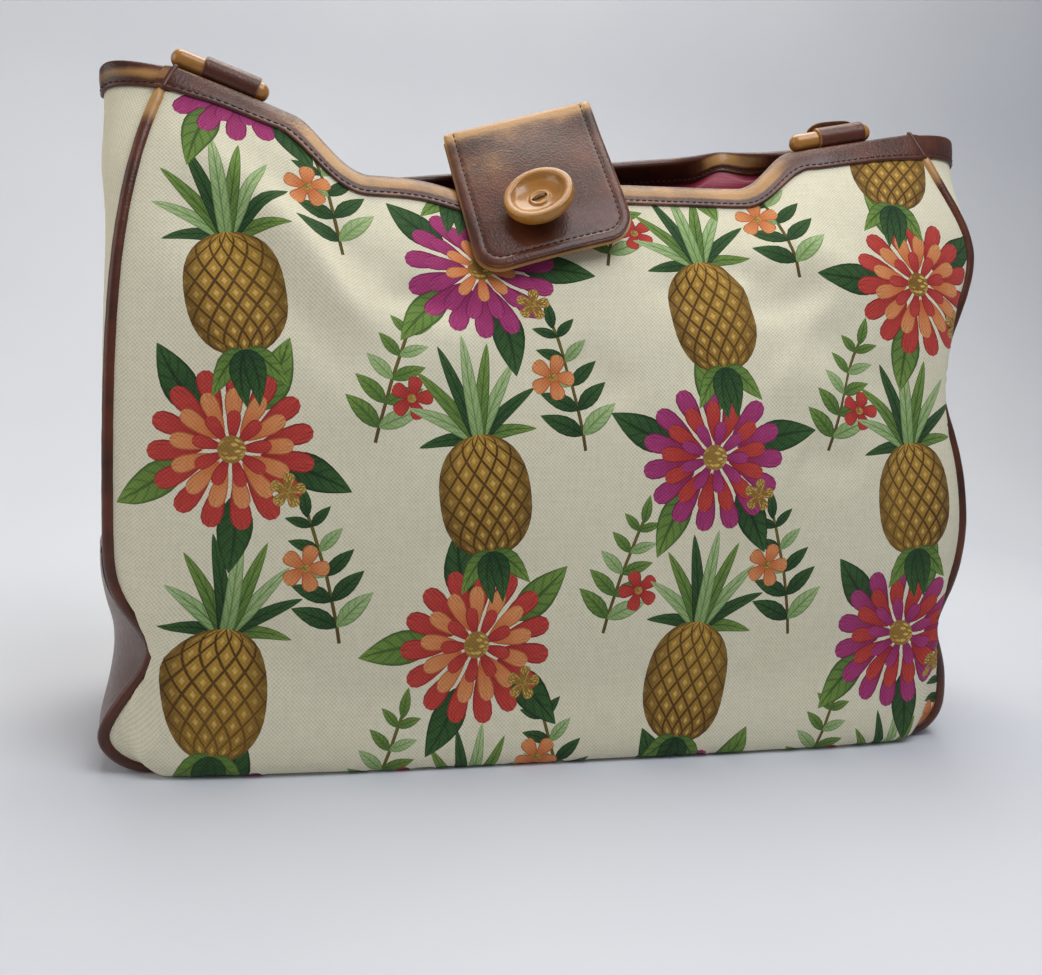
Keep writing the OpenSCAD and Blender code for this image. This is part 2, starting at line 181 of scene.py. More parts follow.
@dataclass
class Draft:
    """A mesh in the making, with its points in millimetres.

    Attributes:
        points: Vertex places.
        faces: Vertex numbers of each face.
        values: Named numbers, one per vertex.
        slots: Material slot of each face, or none for the first slot.
        uvs: Named UV pairs, one per face corner.
    """

    points: Array
    faces: list[list[int]]
    values: dict[str, Array] = field(default_factory=dict)
    slots: list[int] = field(default_factory=list)
    uvs: dict[str, Array] = field(default_factory=dict)

    def thicken(self, normals: Array, thickness: float) -> None:
        """Closes an open skin into a thin shell, inwards from its faces.

        Args:
            normals: Outward unit normal of each vertex, or one for all.
            thickness: Wall in millimetres.
        """
        n = len(self.points)
        edges = {(f[i], f[(i + 1) % len(f)]) for f in self.faces for i in range(len(f))}
        rim = [(a, b) for a, b in edges if (b, a) not in edges]
        self.points = np.vstack([self.points, self.points - thickness * normals])
        self.faces = [
            *self.faces,
            *[[v + n for v in reversed(f)] for f in self.faces],
            *[[b, a, a + n, b + n] for a, b in sorted(rim)],
        ]
        self.values = {k: np.concatenate([v, v]) for k, v in self.values.items()}

    def join(self, other: "Draft") -> None:
        """Adds another draft's points, faces and values to this one.

        Args:
            other: A draft with the same named values.
        """
        n = len(self.points)
        self.points = np.vstack([self.points, other.points])
        self.faces = [*self.faces, *[[v + n for v in f] for f in other.faces]]
        self.values = {
            k: np.concatenate([v, other.values.get(k, np.zeros(len(other.points)))])
            for k, v in self.values.items()
        }

    def piece(
        self,
        name: str,
        finishes: list[bpy.types.Material],
        recalc: bool = True,
        sharp: float = 50.0,
    ) -> bpy.types.Object:
        """Makes the Blender object.

        Args:
            name: Name of the piece.
            finishes: Materials, in slot order.
            recalc: Whether to turn the faces of a closed mesh outwards.
            sharp: Angle in degrees past which an edge stays sharp.

        Returns:
            The object, at the origin and linked to the scene.
        """
        mesh = bpy.data.meshes.new(name)
        mesh.from_pydata((self.points * MM).tolist(), [], self.faces)
        for key, numbers in self.values.items():
            attribute = mesh.attributes.new(key, "FLOAT", "POINT")
            attribute.data.foreach_set("value", np.asarray(numbers, np.float32))
        for key, pairs in self.uvs.items():
            layer = mesh.uv_layers.new(name=key)
            layer.data.foreach_set("uv", np.asarray(pairs, np.float32).ravel())
        for finish in finishes:
            mesh.materials.append(finish)
        if self.slots:
            mesh.polygons.foreach_set("material_index", self.slots)
        if recalc:
            work = bmesh.new()
            work.from_mesh(mesh)
            bmesh.ops.recalc_face_normals(work, faces=work.faces)
            work.to_mesh(mesh)
            work.free()
        mesh.shade_smooth()
        mesh.set_sharp_from_angle(angle=math.radians(sharp))
        mesh.update()
        made = bpy.data.objects.new(name, mesh)
        bpy.context.scene.collection.objects.link(made)
        return made


def tube(path: Array, radius: Array | float, sides: int) -> Draft:
    """Sweeps a round section along a path and caps both ends.

    Args:
        path: Points along the middle, which nowhere runs along Y.
        radius: Radius at each point, or one for all.
        sides: Points round the section.

    Returns:
        A closed draft.
    """
    along = unit(np.gradient(path, axis=0))
    first = unit(np.cross(along, [0.0, 1.0, 0.0]))
    second = np.cross(first, along)
    turn = np.linspace(0, 2 * math.pi, sides, endpoint=False)
    radii = np.broadcast_to(radius, len(path))[:, None, None]
    ring = path[:, None] + radii * (
        np.cos(turn)[None, :, None] * first[:, None]
        + np.sin(turn)[None, :, None] * second[:, None]
    )
    n = len(path)
    caps = [list(range(sides)), list(range((n - 1) * sides, n * sides))]
    return Draft(ring.reshape(-1, 3), [*grid_faces(n, sides, True), *caps])


def lathe(profile: Array, sides: int) -> Draft:
    """Spins a profile of radius and height pairs about Z.

    Args:
        profile: Pairs that start and end on the axis.
        sides: Points round the axis.

    Returns:
        A closed draft.
    """
    turn = np.linspace(0, 2 * math.pi, sides, endpoint=False)
    inner = profile[1:-1]
    ring = np.stack(
        [
            inner[:, :1] * np.cos(turn),
            inner[:, :1] * np.sin(turn),
            np.repeat(inner[:, 1:], sides, axis=1),
        ],
        axis=-1,
    ).reshape(-1, 3)
    n = len(inner)
    points = np.vstack([ring, [0, 0, profile[0, 1]], [0, 0, profile[-1, 1]]])
    low, high = n * sides, n * sides + 1
    last = (n - 1) * sides
    fans = [[low, (k + 1) % sides, k] for k in range(sides)]
    fans += [[high, last + k, last + (k + 1) % sides] for k in range(sides)]
    return Draft(points, [*grid_faces(n, sides, True), *fans])


class Graph:
    """A node tree in the making, with one way to add a node."""

    def __init__(self, tree: bpy.types.NodeTree) -> None:
        """Takes the tree that nodes are added to."""
        self.tree = tree

    def add(
        self, kind: str, inputs: dict | None = None, out: str | int = 0, **settings: object
    ) -> bpy.types.NodeSocket | None:
        """Adds a node with its settings and links.

        Args:
            kind: The node's type name, which a shader node gives without its first part.
            inputs: Values, hex colours or sockets by the name or number of the input.
            out: Name or number of the output wanted.
            **settings: Properties of the node.

        Returns:
            The wanted output socket, or none where the node has no outputs.
        """
        node = self.tree.nodes.new(kind if "Node" in kind else f"ShaderNode{kind}")
        for key, value in settings.items():
            setattr(node, key, value)
        self.feed(node, inputs or {})
        return node.outputs[out] if node.outputs else None

    def feed(self, node: bpy.types.Node, inputs: dict) -> None:
        """Sets or links inputs of a node.

        Args:
            node: The node.
            inputs: Values, hex colours or sockets by the name or number of the input.
        """
        for key, value in inputs.items():
            if isinstance(value, bpy.types.NodeSocket):
                self.tree.links.new(value, node.inputs[key])
                continue
            coloured = isinstance(value, str) and value.startswith("#")
            node.inputs[key].default_value = linear(value) if coloured else value


class MaterialGraph(Graph):
    """A material's node tree, which ends in a Principled shader."""

    def __init__(self, name: str) -> None:
        """Starts the material.

        Args:
            name: Its name.
        """
        self.material = bpy.data.materials.new(name)
        self.material.use_nodes = True
        super().__init__(self.material.node_tree)

    def finish(self, inputs: dict) -> bpy.types.Material:
        """Feeds the shader and returns the material."""
        self.feed(self.tree.nodes["Principled BSDF"], inputs)
        return self.material


# Finishes

RGB = {"out": 2, "data_type": "RGBA"}
SOFT = {"interpolation_type": "SMOOTHSTEP"}


class InkPattern(Enum):
    """What is drawn inside a printed shape."""

    GROUND = "ground"
    LEAF = "leaf"
    PETAL = "petal"
    FRUIT = "fruit"
    DISC = "disc"
    STEM = "stem"


@dataclass(frozen=True)
class DuckCanvas:
    """Cotton duck in a plain weave, undyed or screen printed.

    The eye sees matt slubby threads with hollows between them, darkened as painted shade while the crowns get
    a faint painted highlight, and inks that sit on the crowns and leave the hollows a little paler.

    Attributes:
        name: Material name.
        base: Colour at the root of a shape, or of the ground.
        tip: Colour at its far end.
        line: Colour of its drawn lines.
        pattern: What is drawn inside the shape.
        dot: Colour of the dots in a fruit's eyes.
        bare: Colour of the cloth where the ink is worn.
        thread_mm: Pitch of the threads. Duck has about 0.7 mm; drawn coarser so that it shows.
        blotch_mm: Size of the faint blotches.
    """

    name: str
    base: str
    tip: str
    line: str
    pattern: InkPattern = InkPattern.GROUND
    dot: str = "#dcbb6a"
    bare: str = "#cfc49f"
    thread_mm: float = 0.95
    blotch_mm: float = 71.43

    def drawing(self, g: MaterialGraph) -> bpy.types.NodeSocket:
        """Draws the shape's inside from its own motif coordinates.

        Args:
            g: The material's graph.

        Returns:
            A colour socket.
        """
        place = g.add("UVMap", uv_map="motif")
        t = g.add("SeparateXYZ", {0: place})
        s = t.node.outputs[1]
        far = g.add("Math", {0: s}, operation="ABSOLUTE")
        colour = g.add("Mix", {0: t, 6: self.base, 7: self.tip}, **RGB)
        edge = {1: 0.74, 2: 0.98, 3: 0.0, 4: 0.85}
        if self.pattern is InkPattern.FRUIT:
            # Diamond eyes between two sets of slanting lines, each with a pale dot
            along = g.add("Math", {0: t, 1: 5.0}, operation="MULTIPLY")
            cells = []
            for lean in (2.6, -2.6):
                slant = g.add("Math", {0: s, 1: lean, 2: along}, operation="MULTIPLY_ADD")
                cells.append(g.add("Math", {0: slant, 1: 0.5}, operation="PINGPONG"))
            near = g.add("Math", {0: cells[0], 1: cells[1]}, operation="MINIMUM")
            eyes = g.add("MapRange", {0: near, 1: 0.30, 2: 0.42, 3: 0.0, 4: 0.75}, **SOFT)
            colour = g.add("Mix", {0: eyes, 6: colour, 7: self.dot}, **RGB)
            drawn = g.add("MapRange", {0: near, 1: 0.05, 2: 0.13, 3: 1.0, 4: 0.0}, **SOFT)
            edge = {1: 0.45, 2: 1.05, 3: 0.0, 4: 0.75}
        elif self.pattern is InkPattern.LEAF:
            # A midrib, and veins that slant away from it
            rib = g.add("MapRange", {0: far, 1: 0.05, 2: 0.16, 3: 0.8, 4: 0.0}, **SOFT)
            along = g.add("Math", {0: t, 1: -6.0}, operation="MULTIPLY")
            run = g.add("Math", {0: far, 1: 1.3, 2: along}, operation="MULTIPLY_ADD")
            vein = g.add("Math", {0: run, 1: 0.5}, operation="PINGPONG")
            veins = g.add("MapRange", {0: vein, 1: 0.02, 2: 0.2, 3: 0.5, 4: 0.0}, **SOFT)
            drawn = g.add("Math", {0: rib, 1: veins}, operation="MAXIMUM")
        elif self.pattern is InkPattern.PETAL:
            # Streaks along the petal
            comb = g.add("VectorMath", {0: place, 1: (1.4, 5.0, 0.0)}, operation="MULTIPLY")
            streak = g.add("TexNoise", {"Vector": comb, "Scale": 1.0, "Detail": 2.0})
            drawn = g.add("MapRange", {0: streak, 1: 0.5, 2: 0.72, 3: 0.0, 4: 0.6}, **SOFT)
        elif self.pattern is InkPattern.DISC:
            # Dots like florets
            dots = g.add("TexVoronoi", {"Vector": place, "Scale": 3.2})
            drawn = g.add("MapRange", {0: dots, 1: 0.25, 2: 0.5, 3: 0.0, 4: 0.9}, **SOFT)
        else:
            drawn = g.add("MapRange", {0: far, 1: 0.2, 2: 1.0, 3: 0.0, 4: 0.5})
        rim = g.add("MapRange", {0: far, **edge}, **SOFT)
        shade = g.add("Math", {0: drawn, 1: rim}, operation="MAXIMUM")
        return g.add("Mix", {0: shade, 6: colour, 7: self.line}, **RGB)

    def build(self) -> bpy.types.Material:
        """Makes the material from the cloth's own thread coordinates.

        Returns:
            The material.
        """
        g = MaterialGraph(self.name)
        cloth = g.add("UVMap", uv_map="cloth")
        count = 1000 / self.thread_mm
        threads = g.add("VectorMath", {0: cloth, 1: (count * math.pi,) * 3}, operation="MULTIPLY")
        split = g.add("SeparateXYZ", {0: threads}).node.outputs
        warp, weft = (g.add("Math", {0: split[i]}, operation="SINE") for i in (0, 1))
        check = g.add("Math", {0: warp, 1: weft}, operation="MULTIPLY")
        slubs = []
        for stretch in ((count, count / 6, 1.0), (count / 6, count, 1.0)):
            where = g.add("VectorMath", {0: cloth, 1: stretch}, operation="MULTIPLY")
            slubs.append(g.add("TexNoise", {"Vector": where, "Scale": 0.55, "Detail": 2.0}))
        slub = g.add("Math", {0: slubs[0], 1: slubs[1]}, operation="ADD")
        fine = g.add("Math", {0: slub, 1: 0.45, 2: 0.55}, operation="MULTIPLY_ADD")
        height = g.add("Math", {0: check, 1: 0.4, 2: fine}, operation="MULTIPLY_ADD")
        blotch = g.add("TexNoise", {"Vector": cloth, "Scale": 1000 / self.blotch_mm, "Detail": 4.0})
        if self.pattern is InkPattern.GROUND:
            colour = g.add("Mix", {0: blotch, 6: self.base, 7: self.tip}, **RGB)
        else:
            wash = g.add("MapRange", {0: blotch, 1: 0.35, 2: 0.75, 3: 0.0, 4: 0.3})
            inked = g.add("Mix", {0: wash, 6: self.drawing(g), 7: self.tip}, **RGB)
            worn = g.add("MapRange", {0: height, 1: 1.25, 2: 1.6, 3: 0.0, 4: 0.14})
            colour = g.add("Mix", {0: worn, 6: inked, 7: self.bare}, **RGB)
        # Painted shade and highlight: the weave's hollows are darkened and its crowns lightened a touch, by
        # the thread height.
        pit_shade = g.add("MapRange", {0: height, 1: 0.55, 2: 1.25, 3: 0.77, 4: 1.04})
        colour = g.add("VectorMath", {0: colour, 3: pit_shade}, operation="SCALE")
        bump = g.add("Bump", {"Height": height, "Strength": 0.35, "Distance": 0.0004})
        matt = {"Roughness": 0.92, "Sheen Weight": 0.08, "Specular IOR Level": 0.2}
        return g.finish({"Base Color": colour, "Normal": bump, **matt})


@dataclass(frozen=True)
class Leatherette:
    """Polyurethane-coated cloth with an embossed grain and tan from rubbing wear and painted highlight.

    The eye sees dark brown under a thin clear coat, fine pebbles, and tan at folds and edges,
    partly wear from rubbing at the factory and partly painted highlight.

    Attributes:
        name: Material name.
        base: Main colour.
        deep: Colour in its hollows.
        rubbed_and_highlit: Tan of rubbing wear and painted highlight, laid by the "burnish" value of each
            vertex.
        roughness: Mean roughness of the grain.
        grain_mm: Size of a pebble.
        crease_mm: Size of the fine creases.
        mottle_mm: Size of the patches of colour.
    """

    name: str
    base: str = "#602f1b"
    deep: str = "#351a10"
    rubbed_and_highlit: str = "#b4864e"
    roughness: float = 0.36
    grain_mm: float = 1.0
    crease_mm: float = 2.381
    mottle_mm: float = 23.81

    def build(self) -> bpy.types.Material:
        """Makes the material in object space, with the tan of rubbing wear and painted highlight from the
        mesh.

        Returns:
            The material.
        """
        g = MaterialGraph(self.name)
        place = g.add("TexCoord", out="Object")
        # The tan share from the mesh is partly rubbing wear and partly painted highlight.
        rub_and_highlight = g.add("Attribute", out="Fac", attribute_name="burnish")
        size = {"Vector": place, "Scale": 1000 / self.grain_mm}
        pebbles = g.add("TexVoronoi", {**size, "Randomness": 1.0}, feature="SMOOTH_F1")
        creases = g.add("TexNoise", {"Vector": place, "Scale": 1000 / self.crease_mm, "Detail": 4.0})
        size = {"Vector": place, "Scale": 1000 / self.mottle_mm}
        mottle = g.add("TexNoise", {**size, "Detail": 5.0, "Roughness": 0.6})
        shade = g.add("MapRange", {0: mottle, 1: 0.28, 2: 0.66, 3: 0.0, 4: 1.0})
        colour = g.add("Mix", {0: shade, 6: self.deep, 7: self.base}, **RGB)
        uneven = g.add("MapRange", {0: mottle, 1: 0.3, 2: 0.7, 3: -0.22, 4: 0.22})
        laid = g.add("Math", {0: rub_and_highlight, 1: uneven}, operation="ADD")
        on = g.add("MapRange", {0: laid, 1: 0.12, 2: 0.95, 3: 0.0, 4: 1.0}, **SOFT)
        colour = g.add("Mix", {0: on, 6: colour, 7: self.rubbed_and_highlit}, **RGB)
        low, high = self.roughness - 0.07, self.roughness + 0.12
        rough = g.add("MapRange", {0: creases, 1: 0.3, 2: 0.7, 3: low, 4: high})
        relief = g.add("Math", {0: creases, 1: 0.3, 2: pebbles}, operation="MULTIPLY_ADD")
        bump = g.add("Bump", {"Height": relief, "Strength": 0.26, "Distance": 0.0004})
        coat = {"Coat Weight": 0.25, "Coat Roughness": 0.2, "Coat Normal": bump}
        skin = {"Base Color": colour, "Roughness": rough, "Normal": bump, "Specular IOR Level": 0.3}
        return g.finish({**skin, **coat})


@dataclass(frozen=True)
class LiningSatin:
    """Acetate satin.

    The eye sees smooth crimson with a soft gloss along its folds.

    Attributes:
        name: Material name.
        base: Main colour.
        lit: Colour of the raised threads.
        thread_mm: Pitch of the drawn threads, coarser than real satin so that it shows.
        cloud_mm: Size of the patches of colour.
    """

    name: str = "crimson_satin"
    base: str = "#8a1230"
    lit: str = "#a81d3e"
    thread_mm: float = 0.8
    cloud_mm: float = 33.33

    def build(self) -> bpy.types.Material:
        """Makes the material in object space.

        Returns:
            The material.
        """
        g = MaterialGraph(self.name)
        place = g.add("TexCoord", out="Object")
        size = {"Vector": place, "Scale": 160 / self.thread_mm}
        threads = g.add("TexWave", {**size, "Distortion": 2.0}, out="Fac", bands_direction="Z")
        cloud = g.add("TexNoise", {"Vector": place, "Scale": 1000 / self.cloud_mm, "Detail": 3.0})
        colour = g.add("Mix", {0: cloud, 6: self.base, 7: self.lit}, **RGB)
        bump = g.add("Bump", {"Height": threads, "Strength": 0.1, "Distance": 0.0002})
        rough = g.add("MapRange", {0: cloud, 1: 0.3, 2: 0.7, 3: 0.38, 4: 0.52})
        return g.finish({"Base Color": colour, "Normal": bump, "Roughness": rough, "Sheen Weight": 0.25})


@dataclass(frozen=True)
class AmberWood:
    """Turned hardwood under amber lacquer.

    The eye sees honey brown with fine darker grain along one axis and a clear gloss.

    Attributes:
        name: Material name.
        base: Main colour.
        grain: Colour of the grain lines.
        warm: Colour of the warmer patches.
        turn: Turn of the grain in radians.
        grain_mm: Spacing of the grain lines.
        patch_mm: Size of the warmer patches.
    """

    name: str
    base: str = "#a97124"
    grain: str = "#7a471a"
    warm: str = "#b67a28"
    turn: tuple[float, float, float] = (0.0, 0.0, 0.0)
    grain_mm: float = 1.6
    patch_mm: float = 16.67

    def build(self) -> bpy.types.Material:
        """Makes the material in object space with its grain turned along the piece.

        Returns:
            The material.
        """
        g = MaterialGraph(self.name)
        place = g.add("TexCoord", out="Object")
        laid = g.add("Mapping", {"Vector": place, "Rotation": self.turn, "Scale": (0.12, 1.0, 1.0)})
        size = {"Vector": laid, "Scale": 1000 / self.grain_mm}
        lines = g.add("TexNoise", {**size, "Detail": 5.0, "Roughness": 0.65})
        cloud = g.add("TexNoise", {"Vector": place, "Scale": 1000 / self.patch_mm, "Detail": 2.0})
        dark = g.add("MapRange", {0: lines, 1: 0.45, 2: 0.78, 3: 0.0, 4: 0.6})
        colour = g.add("Mix", {0: dark, 6: self.base, 7: self.grain}, **RGB)
        share = g.add("MapRange", {0: cloud, 1: 0.35, 2: 0.7, 3: 0.0, 4: 0.45})
        colour = g.add("Mix", {0: share, 6: colour, 7: self.warm}, **RGB)
        rough = g.add("MapRange", {0: lines, 3: 0.26, 4: 0.44})
        bump = g.add("Bump", {"Height": lines, "Strength": 0.06, "Distance": 0.0003})
        lacquer = {"Coat Weight": 0.6, "Coat Roughness": 0.12, "IOR": 1.5}
        return g.finish({"Base Color": colour, "Roughness": rough, "Normal": bump, **lacquer})


@dataclass(frozen=True)
class SewingThread:
    """Twisted polyester thread.

    The eye sees a matt strand with light and dark along its ply.

    Attributes:
        name: Material name.
        base: Main colour.
        lit: Colour of the raised ply.
        ply_mm: Length of a light or dark stretch.
    """

    name: str = "polyester_thread"
    base: str = "#1d120e"
    lit: str = "#4a332a"
    ply_mm: float = 0.6667

    def build(self) -> bpy.types.Material:
        """Makes the material in object space.

        Returns:
            The material.
        """
        g = MaterialGraph(self.name)
        place = g.add("TexCoord", out="Object")
        ply = g.add("TexNoise", {"Vector": place, "Scale": 1000 / self.ply_mm, "Detail": 2.0})
        colour = g.add("Mix", {0: ply, 6: self.base, 7: self.lit}, **RGB)
        bump = g.add("Bump", {"Height": ply, "Strength": 0.3, "Distance": 0.0002})
        return g.finish({"Base Color": colour, "Normal": bump, "Roughness": 0.7})


@dataclass(frozen=True)
class PaleSheet:
    """A plain pale studio floor, which the eye sees as matt and nearly even.

    Attributes:
        name: Material name.
        base: Main colour.
        shade: Colour of its faint clouds.
        cloud_mm: Size of the clouds.
    """

    name: str = "pale_floor"
    base: str = "#dfe1e6"
    shade: str = "#d3d6dd"
    cloud_mm: float = 250.0

    def build(self) -> bpy.types.Material:
        """Makes the material in object space.

        Returns:
            The material.
        """
        g = MaterialGraph(self.name)
        place = g.add("TexCoord", out="Object")
        cloud = g.add("TexNoise", {"Vector": place, "Scale": 1000 / self.cloud_mm, "Detail": 3.0})
        colour = g.add("Mix", {0: cloud, 6: self.base, 7: self.shade}, **RGB)
        return g.finish({"Base Color": colour, "Roughness": 0.9, "Specular IOR Level": 0.1})


# The body's form, with the same rules and sizes as the CAD source


@dataclass(frozen=True)
class BagForm:
    """Sizes of the bag in millimetres and the curves that follow from them.

    A side is -1 at the left and 1 at the right, a face is -1 at the front and 1 at
    the back, and v runs from 0 at the foot to 1 at the mouth.
    """

    body_w: float = 426.0
    mouth_w: float = 376.0
    body_d: float = 124.0
    body_h: float = 320.0
    corner_r: float = 18.0
    front_bulge: float = 15.0
    back_bulge: float = 14.0
    base_bow: float = 7.0
    mouth_bow: float = 29.0
    side_bow: float = 4.0
    mouth_shut: float = 0.77
    left_pinch: float = 18.0
    right_pinch: float = 9.0
    right_hollow: float = 10.0
    right_tuck: float = 10.0
    drag_fold: float = 4.0
    front_drop: float = 39.0
    back_drop: float = 28.0
    left_fall: float = 0.316
    right_fall: float = 0.22
    band_h: float = 15.0
    canvas_t: float = 1.6
    leather_t: float = 1.2
    piping_r: float = 3.0
    air: float = 0.45
    boot_share: float = 0.33

    @property
    def half_m(self) -> float:
        """Half width of the mouth."""
        return self.mouth_w / 2

    @property
    def seam_z(self) -> float:
        """Height of the piping's centre line above the floor."""
        return self.piping_r + 0.1

    @property
    def side_out(self) -> float:
        """How far the side panels lie outside the seam."""
        return self.seam_z - self.canvas_t / 2

    @property
    def side_foot(self) -> float:
        """Height of the side panels' foot."""
        return self.canvas_t / 2

    @property
    def band_in(self) -> float:
        """Inner half thickness of a folded band."""
        return self.canvas_t / 2 + self.air

    @property
    def band_out(self) -> float:
        """Outer half thickness of a folded band."""
        return self.band_in + self.leather_t

    def seam_half(self, v: Array, side: Array) -> Array:
        """Gives the half width of the body at the seam, with its pinches.

        Args:
            v: Shares of the height.
            side: Side of each place.

        Returns:
            Half widths.
        """
        plain = self.body_w / 2 - (self.body_w / 2 - self.half_m) * v**6
        left = plain - self.left_pinch * bell(v, 0.175, 0.069) + 4 * bell(v, 0.044, 0.044)
        right = (
            plain
            - self.right_pinch * bell(v, 0.188, 0.063)
            - self.right_hollow * bell(v, 0.6, 0.106)
            + 9 * bell(v, 0.82, 0.088)
            + 2 * bell(v, 0.35, 0.069)
        )
        return np.where(side < 0, left, right)

    @staticmethod
    def round_foot(full: Array, r: float, rise: Array) -> Array:
        """Gives a half width rounded with radius r over the first rise."""
        d = np.clip(r - rise, 0, r)
        return full - r + np.sqrt(np.maximum(0, r * r - d * d))

    def half_at(self, v: Array, side: Array, inset: float) -> Array:
        """Gives the half width of a panel drawn in from the seam by an inset."""
        rise = v * (self.body_h - self.seam_z) - inset
        return self.round_foot(self.seam_half(v, side) - inset, self.corner_r - inset, rise)

    def side_half(self, v: Array, side: Array) -> Array:
        """Gives the half width at a side panel, which lies outside the seam."""
        rise = v * (self.body_h - self.side_foot)
        return self.round_foot(self.seam_half(v, side) + self.side_out, self.corner_r + self.side_out, rise)

    def mouth_z(self, face: Face, x: Array, soft: float = 1.0) -> Array:
        """Gives the height of the mouth line of the front or the back.

        Args:
            face: Front or back.
            x: Places across the bag.
            soft: How far the S steps are drawn out.

        Returns:
            Heights.
        """
        a = np.minimum(np.abs(x), self.half_m)
        left = x < 0
        front = face == FRONT
        left_fall = self.left_fall + (0 if front else 0.01)
        right_fall = self.right_fall - (0 if front else 0.05)
        fall = np.where(left, left_fall, right_fall)
        high = self.body_h - fall * (self.half_m - a)
        low = (
            self.body_h - self.front_drop + 0.035 * x - 8 * bell(x, -40, 26)
            if front
            else self.body_h - self.back_drop + 0.14 * x
        )
        at = np.where(left, 0.617, 0.56 if front else 0.54)
        run = soft * np.where(left, 0.096, 0.085)
        return mix(low, high, ease((a / self.half_m - at + run) / (2 * run)))

    def seam_depth(self, face: Face, v: Array, side: Array) -> Array:
        """Gives the distance of the seam from the middle plane.

        Args:
            face: Front or back.
            v: Shares of the height.
            side: Side of each place.

        Returns:
            Distances.
        """
        plain = self.body_d / 2 * (1 - self.mouth_shut * np.maximum(0, v) ** 3.6)
        if face == FRONT:
            plain = plain - np.where(side > 0, self.right_tuck * bell(v, 0.59, 0.125), 0)
        return plain

    def crease(self, u: Array, v: Array) -> Array:
        """Gives the folds that the front takes from its pinches and upper left corner.

        Args:
            u: Places across, as shares of the half width.
            v: Shares of the height.

        Returns:
            Depths of the folds.
        """
        return (
            3 * bell(v, 0.17, 0.05) * bell(u, -0.9, 0.2)
            + 3 * bell(v, 0.19, 0.05) * bell(u, 0.9, 0.2)
            + self.drag_fold * bell(u + 0.35 * v, -0.47, 0.06) * bell(v, 0.76, 0.16)
        )

    def panel_point(self, face: Face, x: Array, v: Array) -> Array:
        """Gives points of the front or back panel's middle surface.

        Args:
            face: Front or back.
            x: Places across the bag.
            v: Shares of the height.

        Returns:
            Points in millimetres.
        """
        x, v = np.broadcast_arrays(np.asarray(x, float), np.asarray(v, float))
        side = np.where(x < 0, -1, 1)
        u = np.clip(x / self.half_at(v, side, 0), -1.02, 1.02)
        top = self.mouth_z(face, x)
        w = v * (top - self.seam_z) / (self.mouth_z(face, x, 2.2) - self.seam_z)
        bulge = self.front_bulge if face == FRONT else self.back_bulge
        middle = (
            self.body_d / 2 * (1 - self.mouth_shut * np.maximum(0, w) ** 5)
            + bulge * 4 * w * (1 - w)
            + self.base_bow * (1 - w) ** 2
        )
        if face == FRONT:
            middle = middle - self.crease(u, v)
        depth = mix(middle, self.seam_depth(face, v, side), np.abs(u) ** 6)
        points = np.stack([x, face * depth, self.seam_z + (top - self.seam_z) * v], axis=-1)
        if face == BACK:
            # In the dressed bag its mouth flops back where it rises to the right
            flop = bell(x, 101, 20) * np.clip(1 - (1 - v) * self.body_h / 32, 0, 1.1) ** 2
            points = points + flop[..., None] * np.array([0.0, 22.0, 4.0])
        return points

    def panel_rise(self, face: Face, x: Array, v: Array) -> Array:
        """Gives the change of a panel point with v."""
        e = 0.004
        return (self.panel_point(face, x, v + e) - self.panel_point(face, x, v - e)) / (2 * e)

    def panel_normal(self, face: Face, x: Array, v: Array) -> Array:
        """Gives the outward normal of a panel."""
        across = self.panel_point(face, x + 0.5, v) - self.panel_point(face, x - 0.5, v)
        return -face * unit(np.cross(across, self.panel_rise(face, x, v)))

    def panel_offset(self, face: Face, x: Array, v: Array, out: Array) -> Array:
        """Gives points a distance outwards from a panel."""
        return self.panel_point(face, x, v) + np.asarray(out)[..., None] * self.panel_normal(face, x, v)

    def below(self, face: Face, x: Array, d: Array) -> Array:
        """Gives the share of the height a distance below the mouth line."""
        one = np.ones_like(np.asarray(x, float))
        return 1 - d / np.linalg.norm(self.panel_rise(face, x, one), axis=-1)

    def band_share(self, face: Face, x: Array, out: Array) -> Array:
        """Gives the share of the full height that a band shows.

        Args:
            face: Front or back.
            x: Places across the bag.
            out: Distances outwards, below 0 inside the bag.

        Returns:
            Shares.
        """
        if face == FRONT:
            return 1 - 0.16 * ease((-x - 110) / 60)
        return 1 - 0.2 * ease((x - 66) / 36) * ease(-out)

    def bow_at(self, v: Array, side: Side) -> Array:
        """Gives the bow of a side panel, full at the mouth.

        Args:
            v: Shares of the height.
            side: Left or right.

        Returns:
            Distances outwards.
        """
        pinch = self.left_pinch if side < 0 else self.right_pinch
        return (
            self.side_bow * np.minimum(1, 6 * v)
            + (self.mouth_bow - self.side_bow) * np.clip((v - 0.53) / 0.47, 0, 1) ** 3
            + pinch * 0.9 * bell(v, 0.18, 0.08)
        )

    def side_point(self, side: Side, t: Array, v: Array) -> Array:
        """Gives points of a side panel's middle surface.

        Args:
            side: Left or right.
            t: Places from -1 at the front to 1 at the back.
            v: Shares of the height.

        Returns:
            Points in millimetres.
        """
        t, v = np.broadcast_arrays(np.asarray(t, float), np.asarray(v, float))
        sides = np.full(t.shape, side)
        inset = self.piping_r - 1.0
        front = -self.seam_depth(FRONT, v, sides) + inset
        back = self.seam_depth(BACK, v, sides) - inset
        reach = self.side_half(v, sides) + self.bow_at(v, side) * (1 - np.abs(t) ** 2.6)
        s = np.sqrt(t * t + 0.06)
        top = self.body_h - 5 * (1 - s) ** 2 + 10 * s * (1 - s)
        z = self.side_foot + (top - self.side_foot) * v
        return np.stack([side * reach, mix(front, back, (t + 1) / 2), z], axis=-1)

